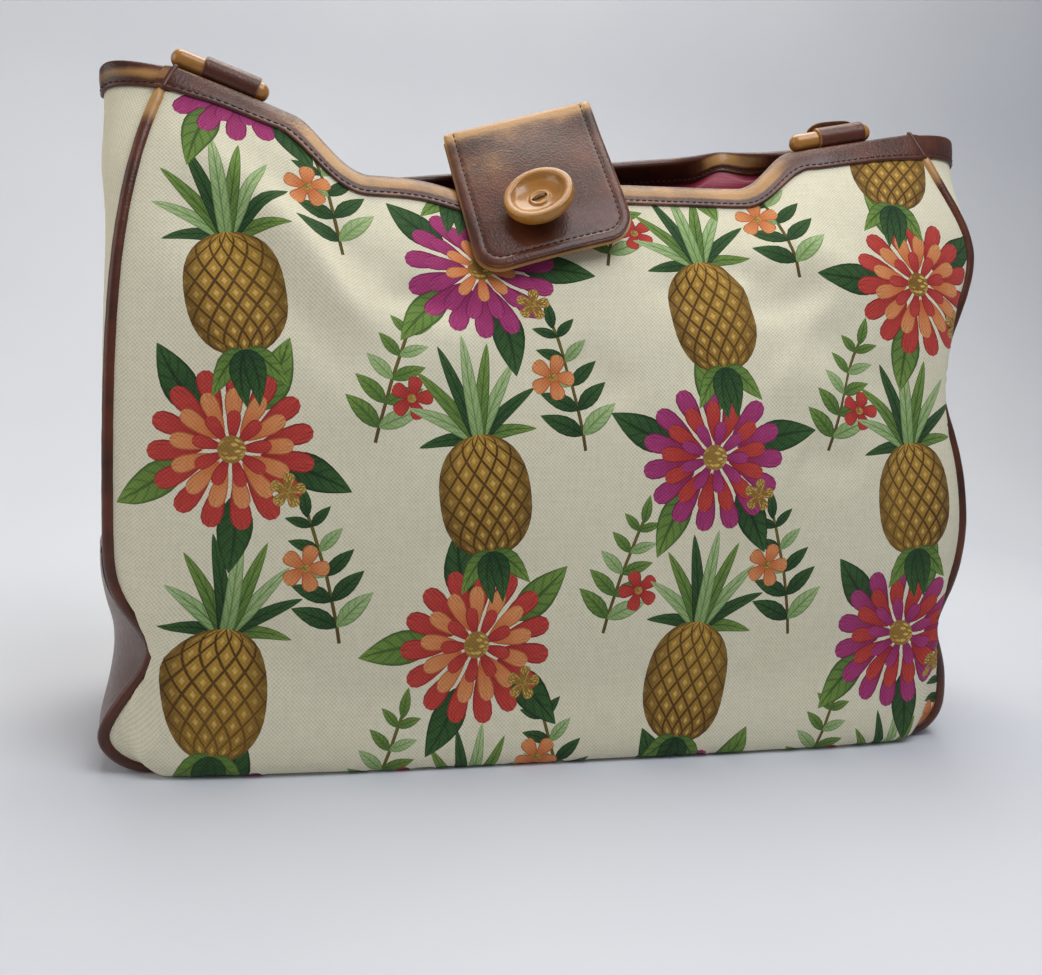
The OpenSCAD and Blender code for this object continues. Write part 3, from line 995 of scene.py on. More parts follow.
    def side_normal(self, side: Side, t: Array, v: Array) -> Array:
        """Gives the outward normal of a side panel.

        Args:
            side: Left or right.
            t: Places from -1 at the front to 1 at the back.
            v: Shares of the height.

        Returns:
            Unit vectors.
        """
        low = np.maximum(0, v - 0.002)
        rise = self.side_point(side, t, v + 0.002) - self.side_point(side, t, low)
        along = self.side_point(side, t + 0.01, v) - self.side_point(side, t - 0.01, v)
        return side * unit(np.cross(along, rise))

    def side_offset(self, side: Side, t: Array, v: Array, out: Array) -> Array:
        """Gives points a distance outwards from a side panel."""
        return self.side_point(side, t, v) + np.asarray(out)[..., None] * self.side_normal(side, t, v)

    def side_below(self, side: Side, t: Array, d: Array) -> Array:
        """Gives the share of a side's height a distance below its mouth line.

        Args:
            side: Left or right.
            t: Places from -1 at the front to 1 at the back.
            d: Distances.

        Returns:
            Shares of the height.
        """
        one = np.full_like(np.asarray(t, float), 0.997)
        rise = (self.side_point(side, t, one + 0.002) - self.side_point(side, t, one - 0.002)) / 0.004
        return 1 - d / np.linalg.norm(rise, axis=-1)


# The front's printed design: a generic half-drop toss of fruit, blossoms and sprigs


class Ink(Enum):
    """Inks of the print, in material slot order."""

    GROUND = 0
    LEAF_DEEP = 1
    LEAF_MID = 2
    LEAF_PALE = 3
    FRUIT = 4
    MAGENTA = 5
    RED = 6
    ORANGE = 7
    GOLD = 8
    STEM = 9


class Shape(Enum):
    """Outlines that the print is made of."""

    LEAF = "leaf"
    PETAL = "petal"
    BLADE = "blade"
    BARREL = "barrel"
    DISC = "disc"
    STRIP = "strip"

    def half(self, t: Array) -> Array:
        """Gives the outline's half width along its length, as a share.

        Args:
            t: Places along its length, from 0 to 1.

        Returns:
            Half widths.
        """
        c = np.clip(t, 0, 1)
        if self is Shape.LEAF:
            return np.sin(math.pi * c**0.8) ** 0.9
        if self is Shape.PETAL:
            return c**0.65 * np.sqrt(np.maximum(0, 1 - c**5)) * 1.1
        if self is Shape.BLADE:
            return (1 - c) ** 0.75 * (0.55 + 1.1 * c) * np.minimum(1, 8 * c + 0.4)
        if self is Shape.BARREL:
            return np.sqrt(np.maximum(0, 1 - np.abs(2 * c - 1) ** 2.5))
        if self is Shape.DISC:
            return np.sqrt(np.maximum(0, 1 - (2 * c - 1) ** 2))
        return np.ones_like(c)


@dataclass(frozen=True)
class InkField:
    """One printed shape, drawn along a bent axis on the flat cloth.

    Attributes:
        shape: Its outline.
        ink: Its ink.
        base: Where its axis starts, in millimetres.
        angle: Direction of its axis in degrees.
        length: Length along the axis.
        half: Largest half width.
        bend: Sideways bend at its far end.
    """

    shape: Shape
    ink: Ink
    base: tuple[float, float]
    angle: float
    length: float
    half: float
    bend: float = 0.0

    def outline(self) -> Array:
        """Gives the outline's points, counter-clockwise.

        Returns:
            Places on the flat cloth.
        """
        along, across = way(self.angle)
        count = 5 if self.shape is Shape.STRIP else max(9, min(18, int(self.length / 2.4)))
        t = 0.5 - 0.5 * np.cos(np.linspace(0, math.pi, count))
        half = self.half * self.shape.half(t)
        lower = [(t[i], -half[i]) for i in range(count)]
        upper = [(t[i], half[i]) for i in reversed(range(count)) if half[i] > 0.05 * self.half]
        pairs = np.array(lower + upper)
        offs = pairs[:, 1] + self.bend * pairs[:, 0] ** 2
        return np.array(self.base) + pairs[:, :1] * self.length * along + offs[:, None] * across

    def local(self, points: Array) -> Array:
        """Gives places along and across the shape, for its drawn lines.

        Args:
            points: Places on the flat cloth.

        Returns:
            Pairs from 0 to 1 along and -1 to 1 across.
        """
        along, across = way(self.angle)
        d = points - np.array(self.base)
        t = d @ along / self.length
        width = self.half * np.maximum(self.shape.half(t), 0.15)
        s = (d @ across - self.bend * t**2) / width
        return np.stack([t, np.clip(s, -1.2, 1.2)], axis=-1)


@dataclass
class TossedPrint:
    """A half-drop repeat of pineapples, round blossoms and leafy sprigs.

    Attributes:
        cell_w: Spacing of the columns.
        cell_h: Height of one repeat in a column.
        crown: Lean in degrees and length, as a share of the fruit, of each blade of a crown.
        rings: Petals, inner and outer radius and petal's half width of a blossom's rings.
        fields: The shapes drawn so far, lowest layer first.
    """

    cell_w: float = 112.0
    cell_h: float = 178.0
    crown: tuple[tuple[float, float], ...] = (
        (70, 0.45), (-68, 0.46), (48, 0.6), (-46, 0.62), (30, 0.72),
        (-28, 0.7), (14, 0.8), (-12, 0.78), (1, 0.84),
    )
    rings: tuple[tuple[int, float, float, float], ...] = (
        (15, 0.34, 1.0, 0.165), (13, 0.2, 0.74, 0.135), (9, 0.08, 0.48, 0.105),
    )
    fields: list[InkField] = field(default_factory=list)

    def draw(self, shape: Shape, ink: Ink, base: Array, angle: float, *sizes: float) -> None:
        """Adds a shape whose sizes are its length, half width and bend."""
        self.fields.append(InkField(shape, ink, (float(base[0]), float(base[1])), angle, *sizes))

    def pineapple(self, x: float, y: float, turn: float, size: float) -> None:
        """Draws a fruit with its crown.

        Args:
            x: Middle of the fruit across.
            y: Middle of the fruit up the cloth.
            turn: Lean in degrees.
            size: Height of the fruit's body.
        """
        up, _ = way(90 + turn)
        foot = np.array([x, y]) - up * size * 0.85
        top = foot + up * size * 0.95
        greens = (Ink.LEAF_DEEP, Ink.LEAF_MID, Ink.LEAF_PALE)
        for i, (lean, share) in enumerate(self.crown):
            sizes = size * share, size * 0.085, size * 0.0022 * lean
            self.draw(Shape.BLADE, greens[i % 3], top, 90 + turn + lean, *sizes)
        self.draw(Shape.BARREL, Ink.FRUIT, foot, 90 + turn, size, size * 0.37)
        for lean in (118, -118, 150, -150):
            ink = Ink.LEAF_MID if abs(lean) < 130 else Ink.LEAF_DEEP
            sizes = size * 0.4, size * 0.09, size * 0.0012 * lean
            self.draw(Shape.LEAF, ink, foot + up * 3, 90 + turn + lean, *sizes)

    def blossom(self, x: float, y: float, radius: float, inks: tuple[Ink, Ink, Ink], turn: float) -> None:
        """Draws a round many-petalled flower over a few leaves.

        Args:
            x: Middle across.
            y: Middle up the cloth.
            radius: Outer radius.
            inks: Inks from the outer ring inwards.
            turn: Turn in degrees.
        """
        middle = np.array([x, y])
        for i in range(5):
            angle = turn + 20 + 72 * i
            ink, bend = (Ink.LEAF_MID, 0.16) if i % 2 else (Ink.LEAF_DEEP, -0.14)
            root = middle + 0.55 * radius * way(angle)[0]
            self.draw(Shape.LEAF, ink, root, angle, radius * 0.98, radius * 0.22, radius * bend)
        for (count, inner, outer, half), ink in zip(self.rings, inks):
            for i in range(count):
                angle = turn + 360 * i / count + (0 if ink is inks[0] else 11)
                root = middle + inner * radius * way(angle)[0]
                self.draw(Shape.PETAL, ink, root, angle, (outer - inner) * radius, half * radius)
        self.draw(Shape.DISC, Ink.GOLD, (x - 0.17 * radius, y), 0, 0.34 * radius, 0.17 * radius)

    def sprig(self, x: float, y: float, turn: float, length: float, ink: Ink) -> None:
        """Draws a stem with leaves in pairs.

        Args:
            x: Foot of the stem across.
            y: Foot of the stem up the cloth.
            turn: Lean in degrees.
            length: Length of the stem.
            ink: Ink of the leaves.
        """
        foot = np.array([x, y])
        bend = length * 0.1 * (1 if turn > 0 else -1)
        along, across = way(90 + turn)
        self.draw(Shape.STRIP, Ink.STEM, foot, 90 + turn, length, 0.8, bend)
        for i in range(5):
            t = 0.12 + 0.19 * i
            root = foot + t * length * along + bend * t * t * across
            size = length * (0.36 - 0.04 * i)
            for lean in (52, -50):
                other = Ink.LEAF_PALE if (i + (lean > 0)) % 3 == 0 else ink
                sizes = size, size * 0.2, 0.1 * size * (1 if lean > 0 else -1)
                self.draw(Shape.LEAF, other, root, 90 + turn + lean + bend * t, *sizes)
        tip = foot + 0.95 * length * along + bend * across
        self.draw(Shape.LEAF, ink, tip, 90 + turn, length * 0.24, length * 0.045)

    def small_flower(self, x: float, y: float, radius: float, ink: Ink, turn: float) -> None:
        """Draws a five-petalled flower.

        Args:
            x: Middle across.
            y: Middle up the cloth.
            radius: Length of a petal.
            ink: Ink of the petals.
            turn: Turn in degrees.
        """
        for i in range(5):
            self.draw(Shape.PETAL, ink, (x, y), turn + 72 * i, radius, radius * 0.42)
        self.draw(Shape.DISC, Ink.GOLD, (x - radius * 0.2, y), 0, radius * 0.4, radius * 0.2)

    def lay_out(self) -> list[InkField]:
        """Tosses the motifs over the cloth.

        Returns:
            The shapes, lowest layer first.
        """
        palettes = [
            (Ink.MAGENTA, Ink.RED, Ink.MAGENTA),
            (Ink.RED, Ink.ORANGE, Ink.RED),
            (Ink.MAGENTA, Ink.MAGENTA, Ink.ORANGE),
        ]
        half = self.cell_h / 2
        for col in range(-2, 2):
            x = (col + 0.5) * self.cell_w + 6
            between = x + self.cell_w / 2
            for row in range(-1, 3):
                y = 62 + row * self.cell_h + (half if col % 2 else 0.0)
                self.sprig(between - 6, y + 2, 9, 62, Ink.LEAF_DEEP)
                self.sprig(between + 8, y + half + 4, -11, 58, Ink.LEAF_MID)
                self.pineapple(x, y, 9 if (col + row) % 2 else -8, 58)
                self.blossom(x + 2, y + half, 36, palettes[(col + row) % 3], 17 * col + 40 * row)
                self.small_flower(between - 22, y + 36, 11, Ink.ORANGE, 20 * row)
                self.small_flower(between + 24, y + half + 24, 10, Ink.RED, 33 * col)
                self.small_flower(between - 30, y + half - 18, 8, Ink.GOLD, 12)
        return self.fields


class FlatCloth:
    """Turns places on the flat cut of a panel into shares of its height."""

    def __init__(self, form: BagForm, face: Face) -> None:
        """Tabulates the arc length up each column of the panel.

        Args:
            form: The bag's form.
            face: Front or back.
        """
        self.form = form
        self.face = face
        self.xs = np.linspace(-224, 224, 299)
        shares = np.linspace(0, 1, 221)
        points = form.panel_point(face, self.xs[:, None], shares[None, :])
        steps = np.linalg.norm(np.diff(points, axis=1), axis=-1)
        self.shares = shares
        self.arcs = np.hstack([np.zeros((len(self.xs), 1)), np.cumsum(steps, axis=1)])
        self.heights = np.linspace(0, self.arcs.max(), 261)
        self.table = np.array([np.interp(self.heights, arc, shares) for arc in self.arcs])

    @staticmethod
    def look_up(table: Array, rows: Array, columns: Array, a: Array, b: Array) -> Array:
        """Reads a table between its entries.

        Args:
            table: Values on a grid.
            rows: Even spacing of its rows.
            columns: Even spacing of its columns.
            a: Places along the rows.
            b: Places along the columns.

        Returns:
            Values at the places.
        """
        i = np.clip((a - rows[0]) / (rows[1] - rows[0]), 0, len(rows) - 1.001)
        j = np.clip((b - columns[0]) / (columns[1] - columns[0]), 0, len(columns) - 1.001)
        i0, j0 = i.astype(int), j.astype(int)
        p, q = i - i0, j - j0
        low = mix(table[i0, j0], table[i0, j0 + 1], q)
        high = mix(table[i0 + 1, j0], table[i0 + 1, j0 + 1], q)
        return mix(low, high, p)

    def share(self, x: Array, height: Array) -> Array:
        """Gives the share of the height at a place on the flat cloth."""
        return self.look_up(self.table, self.xs, self.heights, x, height)

    def height(self, x: Array, v: Array) -> Array:
        """Gives the arc length from the foot at a share of the height."""
        return self.look_up(self.arcs, self.xs, self.shares, x, v)


# Sub-assemblies


class Finishes:
    """The bag's materials, each made once."""

    def __init__(self) -> None:
        """Builds every material of the bag, with the inks in the order of the print's slots."""
        leaf, petal = InkPattern.LEAF, InkPattern.PETAL
        inks = [
            DuckCanvas("cotton_duck_cream", "#e0d8ba", "#e8e1c8", "#b5a67c"),
            DuckCanvas("duck_ink_leaf_deep", "#1d3a22", "#3f6333", "#132818", leaf),
            DuckCanvas("duck_ink_leaf_mid", "#46692f", "#7d9a48", "#25401f", leaf),
            DuckCanvas("duck_ink_leaf_pale", "#7f9f5c", "#b3c78f", "#4c6f3a", leaf),
            DuckCanvas("duck_ink_fruit", "#8a6526", "#b98e3c", "#4a3116", InkPattern.FRUIT),
            DuckCanvas("duck_ink_magenta", "#7d1c4b", "#b2407a", "#551033", petal),
            DuckCanvas("duck_ink_red", "#9c2227", "#c8483f", "#6a1519", petal),
            DuckCanvas("duck_ink_orange", "#c45b2b", "#e39a62", "#8f3a1a", petal),
            DuckCanvas("duck_ink_gold", "#c9963c", "#e2c06a", "#7a5420", InkPattern.DISC),
            DuckCanvas("duck_ink_stem", "#5c4522", "#6f6a2c", "#3a2c16", InkPattern.STEM),
        ]
        self.inks = [ink.build() for ink in inks]
        self.ground = self.inks[Ink.GROUND.value]
        self.leather = Leatherette("pu_leatherette_brown").build()
        self.boot = Leatherette("pu_leatherette_taupe", "#75605a", "#5c4a46", "#9c8478", 0.5).build()
        self.tan = Leatherette("pu_leatherette_tan", "#b98a55", "#9a6d3f", "#d9b078", 0.5).build()
        self.satin = LiningSatin().build()
        self.button_wood = AmberWood("lacquered_wood_button", turn=(0.0, 0.3, 0.5)).build()
        self.rod_wood = AmberWood("lacquered_wood_rod").build()
        self.thread = SewingThread().build()
        self.button_thread = SewingThread("polyester_button_thread", "#4a3322", "#8a6a48").build()


@dataclass
class SubAssembly:
    """A part of the bag that is cut to its form and dressed in its finishes.

    Attributes:
        form: The bag's form.
        finishes: The bag's materials.
    """

    form: BagForm
    finishes: Finishes


def node_name(part: Face | Side, word: str) -> str:
    """Gives the CAD node's name of a piece that belongs to a face or a side."""
    return f"{part.name.lower()}_{word}"


def settle(piece: bpy.types.Object, nodes: list[str], body: str = "bag") -> None:
    """Puts a piece on its body and hides what it stands for.

    Args:
        piece: The finished object.
        nodes: CAD nodes that it stands for.
        body: The CAD body that carries it.
    """
    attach(piece, body)
    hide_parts(*nodes)
    triangles = sum(len(p.vertices) - 2 for p in piece.data.polygons)
    log.info("%s: %d triangles on %s", piece.name, triangles, body)


@dataclass(frozen=True)
class Fold:
    """A soft fold along a line on a panel, in millimetres across and up.

    Attributes:
        start: One end of its line.
        end: The other end.
        height: Its height, negative for a valley.
        width: Its half width.
    """

    start: tuple[float, float]
    end: tuple[float, float]
    height: float
    width: float

    def lift(self, x: Array, up: Array) -> Array:
        """Gives its height at places on the panel.

        Args:
            x: Places across the panel.
            up: Places up the panel.

        Returns:
            Heights.
        """
        run = np.array(self.end) - np.array(self.start)
        length = float(np.hypot(*run))
        dx, dy = x - self.start[0], up - self.start[1]
        t = (dx * run[0] + dy * run[1]) / length**2
        off = (dy * run[0] - dx * run[1]) / length
        return self.height * bell(off, 0, self.width) * ease((t + 0.25) / 0.4) * ease((1.25 - t) / 0.5)


FOLDS = {
    FRONT: [
        Fold((-172, 286), (-96, 236), 4.4, 10),
        Fold((-190, 266), (-116, 214), -4.6, 13),
        Fold((-198, 236), (-152, 188), 2.6, 13),
        Fold((-142, 286), (-78, 262), -2.2, 10),
        Fold((-92, 257), (-54, 252), -3.4, 8),
        Fold((-58, 240), (-112, 190), 2.4, 16),
        Fold((78, 274), (100, 264), -2.6, 7),
        Fold((88, 257), (122, 244), -4.2, 9),
        Fold((98, 282), (156, 240), 2.6, 10),
        Fold((124, 226), (148, 188), -3.6, 13),
        Fold((98, 216), (130, 190), 2.8, 14),
        Fold((-6, 226), (18, 204), -3.2, 13),
        Fold((40, 266), (64, 250), -2.4, 10),
        Fold((114, 164), (140, 150), -3.0, 11),
        Fold((58, 206), (82, 130), 2.2, 20),
        Fold((164, 200), (176, 130), -2.2, 13),
        Fold((-70, 130), (-20, 100), -1.8, 18),
        Fold((-196, 60), (-138, 72), -2.4, 9),
        Fold((-190, 40), (-128, 46), 1.8, 11),
        Fold((198, 62), (150, 84), -2.4, 10),
    ],
    BACK: [
        Fold((-170, 285), (-90, 225), 2.4, 10),
        Fold((172, 282), (96, 230), 2.4, 10),
        Fold((-186, 258), (-110, 205), -2.6, 12),
        Fold((186, 256), (112, 205), -2.6, 12),
        Fold((-196, 60), (-140, 74), -2.0, 9),
        Fold((198, 62), (140, 74), -2.0, 9),
        Fold((10, 240), (-20, 140), 1.4, 20),
    ],
}


@dataclass
class CanvasPanels(SubAssembly):
    """The printed front and the plain back.

    Attributes:
        inset: How far the cloth's edge lies inside the seam's centre line.
        step: Spacing of the cloth's points.
        tuck: How far below the mouth line the cloth ends, inside the band.
        wall: Thickness of the cloth.
    """

    inset: float = 2.3
    step: float = 3.3
    tuck: float = 3.0
    wall: float = 1.2

    def relief(self, face: Face, x: Array, v: Array) -> Array:
        """Gives soft folds that stand on the plain form.

        Args:
            face: Front or back.
            x: Places across the bag.
            v: Shares of the height.

        Returns:
            Height of the folds in millimetres, none at the seams.
        """
        u = x / self.form.half_at(np.clip(v, 0, 1), np.where(x < 0, -1, 1), 0)
        hold = np.clip(1 - np.abs(u) ** 8, 0, 1) * ease(v / 0.06) * ease((1 - v) / 0.09)
        up = v * self.form.body_h
        ripple = 0.3 * np.sin(9.0 * u + 7 * v) * np.sin(8 * v + 2.0)
        return hold * (ripple + sum(f.lift(x, up) for f in FOLDS[face]))

    def swag(self, x: Array, v: Array) -> Array:
        """Gives how the front hangs over its piping at the foot and in the pinches.

        Args:
            x: Places across the bag.
            v: Shares of the height.

        Returns:
            Moves in millimetres.
        """
        form = self.form
        side = np.where(x < 0, -1, 1)
        half = form.half_at(np.clip(v, 0, 1), side, 0)
        rise = v * (form.body_h - form.seam_z) - self.inset
        foot = 1 - ease((np.abs(x) / half - 0.9) / 0.07)
        out = 6.6 * np.sin(np.clip((rise + 0.6) / 7.6, 0, 1) * math.pi / 2) * (1 - ease((rise - 7) / 42))
        drop = (4.4 + 2.4 * ease(rise / 2.5)) * (1 - ease((rise - 12) / 90))
        gap = np.maximum(0, half - self.inset - np.abs(x))
        left = np.where(x < 0, bell(v, 0.175, 0.07), 0)
        right = np.where(x > 0, 0.8 * bell(v, 0.185, 0.07) + 0.75 * bell(v, 0.615, 0.1), 0)
        over = left + right
        aside = over * 6.5 * ease(gap / 3.4) * (1 - ease((gap - 3) / 62))
        ahead = over * (6.5 * ease(gap / 5.0) * (1 - ease((gap - 6) / 42)) - 0.4)
        ridge = np.where(x > 0, 4.5 * bell(v, 0.37, 0.13), 0) * ease(gap / 11) * (1 - ease((gap - 11) / 34))
        return np.stack([side * aside, -(foot * out + ahead + ridge), -foot * drop], axis=-1)

    def surface(self, face: Face, x: Array, v: Array) -> Array:
        """Gives points of a panel's outer skin with its folds.

        Args:
            face: Front or back.
            x: Places across the bag.
            v: Shares of the height.

        Returns:
            Points in millimetres.
        """
        out = self.form.canvas_t / 2 + self.relief(face, x, v)
        points = self.form.panel_offset(face, x, v, out)
        return points + self.swag(x, v) if face == FRONT else points

    def skin_normal(self, face: Face, x: Array, v: Array) -> Array:
        """Gives the outward normal of the folded skin.

        Args:
            face: Front or back.
            x: Places across the bag.
            v: Shares of the height.

        Returns:
            Unit vectors.
        """
        across = self.surface(face, x + 0.6, v) - self.surface(face, x - 0.6, v)
        rise = self.surface(face, x, v + 0.003) - self.surface(face, x, v - 0.003)
        return -face * unit(np.cross(across, rise))

    def edge_line(self, cloth: FlatCloth) -> Array:
        """Gives the panel's edge on the flat cloth, counter-clockwise.

        Args:
            cloth: The panel's flat cloth.

        Returns:
            Places on the cloth.
        """
        form, face = self.form, cloth.face
        low = self.inset / (form.body_h - form.seam_z)
        r = form.corner_r - self.inset
        rise = low + r / (form.body_h - form.seam_z) * (1 - np.cos(np.linspace(0, math.pi / 2, 16)))
        climb = np.concatenate([rise, np.linspace(rise[-1], 0.955, 150)[1:]])
        right = form.half_at(climb, np.ones(len(climb)), self.inset)
        left = -form.half_at(climb, -np.ones(len(climb)), self.inset)
        top_x = np.linspace(form.half_m - 1.0, -form.half_m + 1.0, 260)
        top_v = form.below(face, top_x, self.tuck)
        foot_x = np.linspace(left[0], right[0], 140)[1:-1]
        x = np.concatenate([foot_x, right, top_x, left[::-1]])
        v = np.concatenate([np.full(len(foot_x), low), climb, top_v, climb[::-1]])
        return np.stack([x, cloth.height(x, v)], axis=-1)

    def printed(self) -> None:
        """Builds the front with every printed shape cut into its mesh."""
        cloth = FlatCloth(self.form, FRONT)
        edge = self.edge_line(cloth)
        fields = TossedPrint().lay_out()
        xs = np.arange(-214, 214, self.step)
        ys = np.arange(2.5, 345, self.step)
        net = np.stack(np.meshgrid(xs, ys), axis=-1)
        net[1::2, :, 0] += self.step / 2
        outlines = [edge, *[f.outline() for f in fields]]
        points, rings, start = [], [], 0
        for line in outlines:
            rings.append(list(range(start, start + len(line))))
            points.append(line)
            start += len(line)
        points.append(net.reshape(-1, 2))
        corners_in = [Vector(p) for p in np.vstack(points)]
        flat, _, faces, _, _, origins = delaunay_2d_cdt(corners_in, [], rings, 1, 0.02, True)
        places = np.array(flat)
        kept = [(list(f), max(o)) for f, o in zip(faces, origins) if 0 in o]
        used = np.unique([i for f, _ in kept for i in f])
        number = np.full(len(places), -1)
        number[used] = np.arange(len(used))
        places = places[used]
        v = cloth.share(places[:, 0], places[:, 1])
        corners = number[np.array([f for f, _ in kept])]
        tops = np.array([o for _, o in kept])
        motif = np.zeros((len(tops), 3, 2))
        for k in np.unique(tops):
            if k > 0:
                mine = tops == k
                motif[mine] = fields[k - 1].local(places[corners[mine]].reshape(-1, 2)).reshape(-1, 3, 2)
        normals = self.skin_normal(FRONT, places[:, 0], v)
        draft = Draft(self.surface(FRONT, places[:, 0], v), corners.tolist())
        inks = [0 if k == 0 else fields[k - 1].ink.value for k in tops]
        draft.thicken(normals, self.wall)
        rim = len(draft.faces) - 2 * len(tops)
        flat_uv = places[corners].reshape(-1, 2) * MM
        back_uv = places[corners[:, ::-1]].reshape(-1, 2) * MM
        draft.uvs = {
            "cloth": np.vstack([flat_uv, back_uv, np.zeros((4 * rim, 2))]),
            "motif": np.vstack([motif.reshape(-1, 2), np.zeros((3 * len(tops) + 4 * rim, 2))]),
        }
        draft.slots = [*inks, *[0] * (len(tops) + rim)]
        piece = draft.piece("front_panel_printed", self.finishes.inks, recalc=False)
        settle(piece, ["front_panel"])
        self.declare(piece, edge)

    def plain(self) -> None:
        """Builds the back as one gridded skin."""
        form = self.form
        cloth = FlatCloth(form, BACK)
        low = self.inset / (form.body_h - form.seam_z)
        rows = mix(low, 0.94, np.linspace(0, 1, 96) ** 1.2)
        grid, flat = [], []
        for u in crowded(150):
            side = np.full(len(rows), -1 if u < 0 else 1)
            x = u * form.half_at(rows, side, self.inset)
            last = np.linspace(0.125, 1, 8)
            top_x = np.full(8, u * (form.half_m - 1))
            top = form.below(BACK, top_x, self.tuck)
            xs = np.concatenate([x, mix(x[-1], top_x, last)])
            vs = np.concatenate([rows * top[-1], mix(rows[-1] * top[-1], top, last)])
            grid.append(self.surface(BACK, xs, vs))
            flat.append(np.stack([xs, cloth.height(xs, vs)], axis=-1))
        points = np.array(grid)
        places = np.array(flat).reshape(-1, 2)
        normals = grid_normals(points)
        normals = normals * np.sign((normals * np.array([0, 1, 0])).sum(-1).mean())
        faces = grid_faces(points.shape[0], points.shape[1])
        draft = Draft(points.reshape(-1, 3), faces)
        draft.thicken(normals.reshape(-1, 3), self.wall)
        n = len(places)
        draft.uvs = {"cloth": np.array([places[i % n] * MM for f in draft.faces for i in f])}
        piece = draft.piece("back_panel_canvas", [self.finishes.ground])
        settle(piece, ["back_panel"])
        self.declare(piece, self.edge_line(cloth))

    @staticmethod
    def declare(piece: bpy.types.Object, edge: Array) -> None:
        """Does nothing with the panel and its edge.

        Args:
            piece: The panel; not used.
            edge: Its edge on the flat cloth; not used.
        """


@dataclass
class SidePanels(SubAssembly):
    """The canvas gussets and the leatherette boots below them.

    Attributes:
        lap: Share of the height that a gusset runs down behind its boot.
        tuck: How far below the mouth line a gusset ends, inside the band.
        wall: Thickness of the cloth.
        columns: Number of points across a side.
        stitch_at: Distance of a boot's stitches below its top edge.
        turn_up: Share of the height that a boot stands over its gusset's foot line.
    """

    lap: float = 0.02
    tuck: float = 3.0
    wall: float = 1.2
    columns: int = 64
    stitch_at: float = 4.2
    turn_up: float = 0.004

    def folds(self, side: Side, t: Array, v: Array) -> Array:
        """Gives the soft folds of a side panel, in millimetres.

        Args:
            side: Left or right.
            t: Places from -1 at the front to 1 at the back.
            v: Shares of the height.

        Returns:
            Heights over the plain form.
        """
        hold = (1 - np.abs(t) ** 4) * ease(v / 0.1) * ease((1 - v) / 0.15)
        return hold * (
            1.3 * bell(t - 0.4 * v, -0.25, 0.14) * bell(v, 0.62, 0.2)
            - 1.2 * bell(t + 0.3 * v, 0.35, 0.15) * bell(v, 0.5, 0.22)
            + 0.5 * np.sin(6 * t + 9 * v + side)
            + (2.6 if side == LEFT else 1.2) * bell(v, 0.86, 0.07) * ease((0.6 - t) / 0.8)
        )

    def skin(self, side: Side, rows: Array, lift: Array) -> tuple[Draft, Array]:
        """Builds a closed skin over part of a side.

        Args:
            side: Left or right.
            rows: Shares of the height, one per row, or a grid of them.
            lift: Height of the skin's face over the form at each of them.

        Returns:
            The draft and its flat places.
        """
        form = self.form
        ts = crowded(self.columns)
        v = np.broadcast_to(rows, (self.columns, rows.shape[-1]))
        t = np.broadcast_to(ts[:, None], v.shape)
        out = lift + self.folds(side, t, v)
        points = form.side_offset(side, t, v, out)
        normals = form.side_normal(side, t, v)
        steps_v = np.linalg.norm(np.diff(points, axis=1), axis=-1)
        steps_t = np.linalg.norm(np.diff(points, axis=0), axis=-1)
        ups = np.hstack([np.zeros((len(ts), 1)), np.cumsum(steps_v, axis=1)])
        overs = np.vstack([np.zeros((1, v.shape[1])), np.cumsum(steps_t, axis=0)])
        places = np.stack([overs - overs[-1] / 2, ups], axis=-1).reshape(-1, 2)
        draft = Draft(points.reshape(-1, 3), grid_faces(*v.shape))
        draft.thicken(normals.reshape(-1, 3), self.wall)
        return draft, places

    def declare(self, piece: bpy.types.Object, places: Array, rows: int) -> None:
        """Does nothing with the side piece and its flat places.

        Args:
            piece: The piece; not used.
            places: Flat places of its grid; not used.
            rows: Number of rows in the grid; not used.
        """

    def gusset(self, side: Side) -> None:
        """Builds one canvas gusset.

        Args:
            side: Left or right.
        """
        name = node_name(side, "gusset")
        form = self.form
        low = form.boot_share - self.lap
        top = form.side_below(side, crowded(self.columns), self.tuck)
        share = np.linspace(0, 1, 84)
        rows = low + (top[:, None] - low) * share[None, :]
        lift = form.canvas_t / 2 - 0.75 * (1 - ease((rows - low) / 0.03))
        draft, places = self.skin(side, rows, lift)
        n = len(places)
        draft.uvs = {"cloth": np.array([places[i % n] * MM for f in draft.faces for i in f])}
        piece = draft.piece(f"{name}_canvas", [self.finishes.ground])
        settle(piece, [name])
        self.declare(piece, places, len(share))

    def boot(self, side: Side) -> None:
        """Builds one leatherette boot with a turned top edge.

        Args:
            side: Left or right.
        """
        name = node_name(side, "boot")
        form = self.form
        r = form.corner_r + form.side_out
        turn = r * (1 - np.cos(np.linspace(0, math.pi / 2, 14))) / (form.body_h - form.side_foot)
        rows = np.concatenate([turn, np.linspace(turn[-1], form.boot_share + self.turn_up, 64)[1:]])
        edge = form.boot_share * form.body_h + 1.3 - rows * form.body_h
        lift = form.canvas_t / 2 + 0.7 * ease((rows - 0.24) / 0.06)
        lift = lift - 0.4 * bell(edge, self.stitch_at, 0.9) - 0.5 * ease(1 - edge / 1.2)
        draft, places = self.skin(side, rows, lift)
        mark = 0.55 * ease(1 - edge / 3) + 0.3 * bell(rows, 0.03, 0.03)
        draft.values = {"burnish": np.tile(mark, 2 * self.columns)}
        piece = draft.piece(f"{name}_leatherette", [self.finishes.boot])
        settle(piece, [name])
        self.declare(piece, places, len(rows))


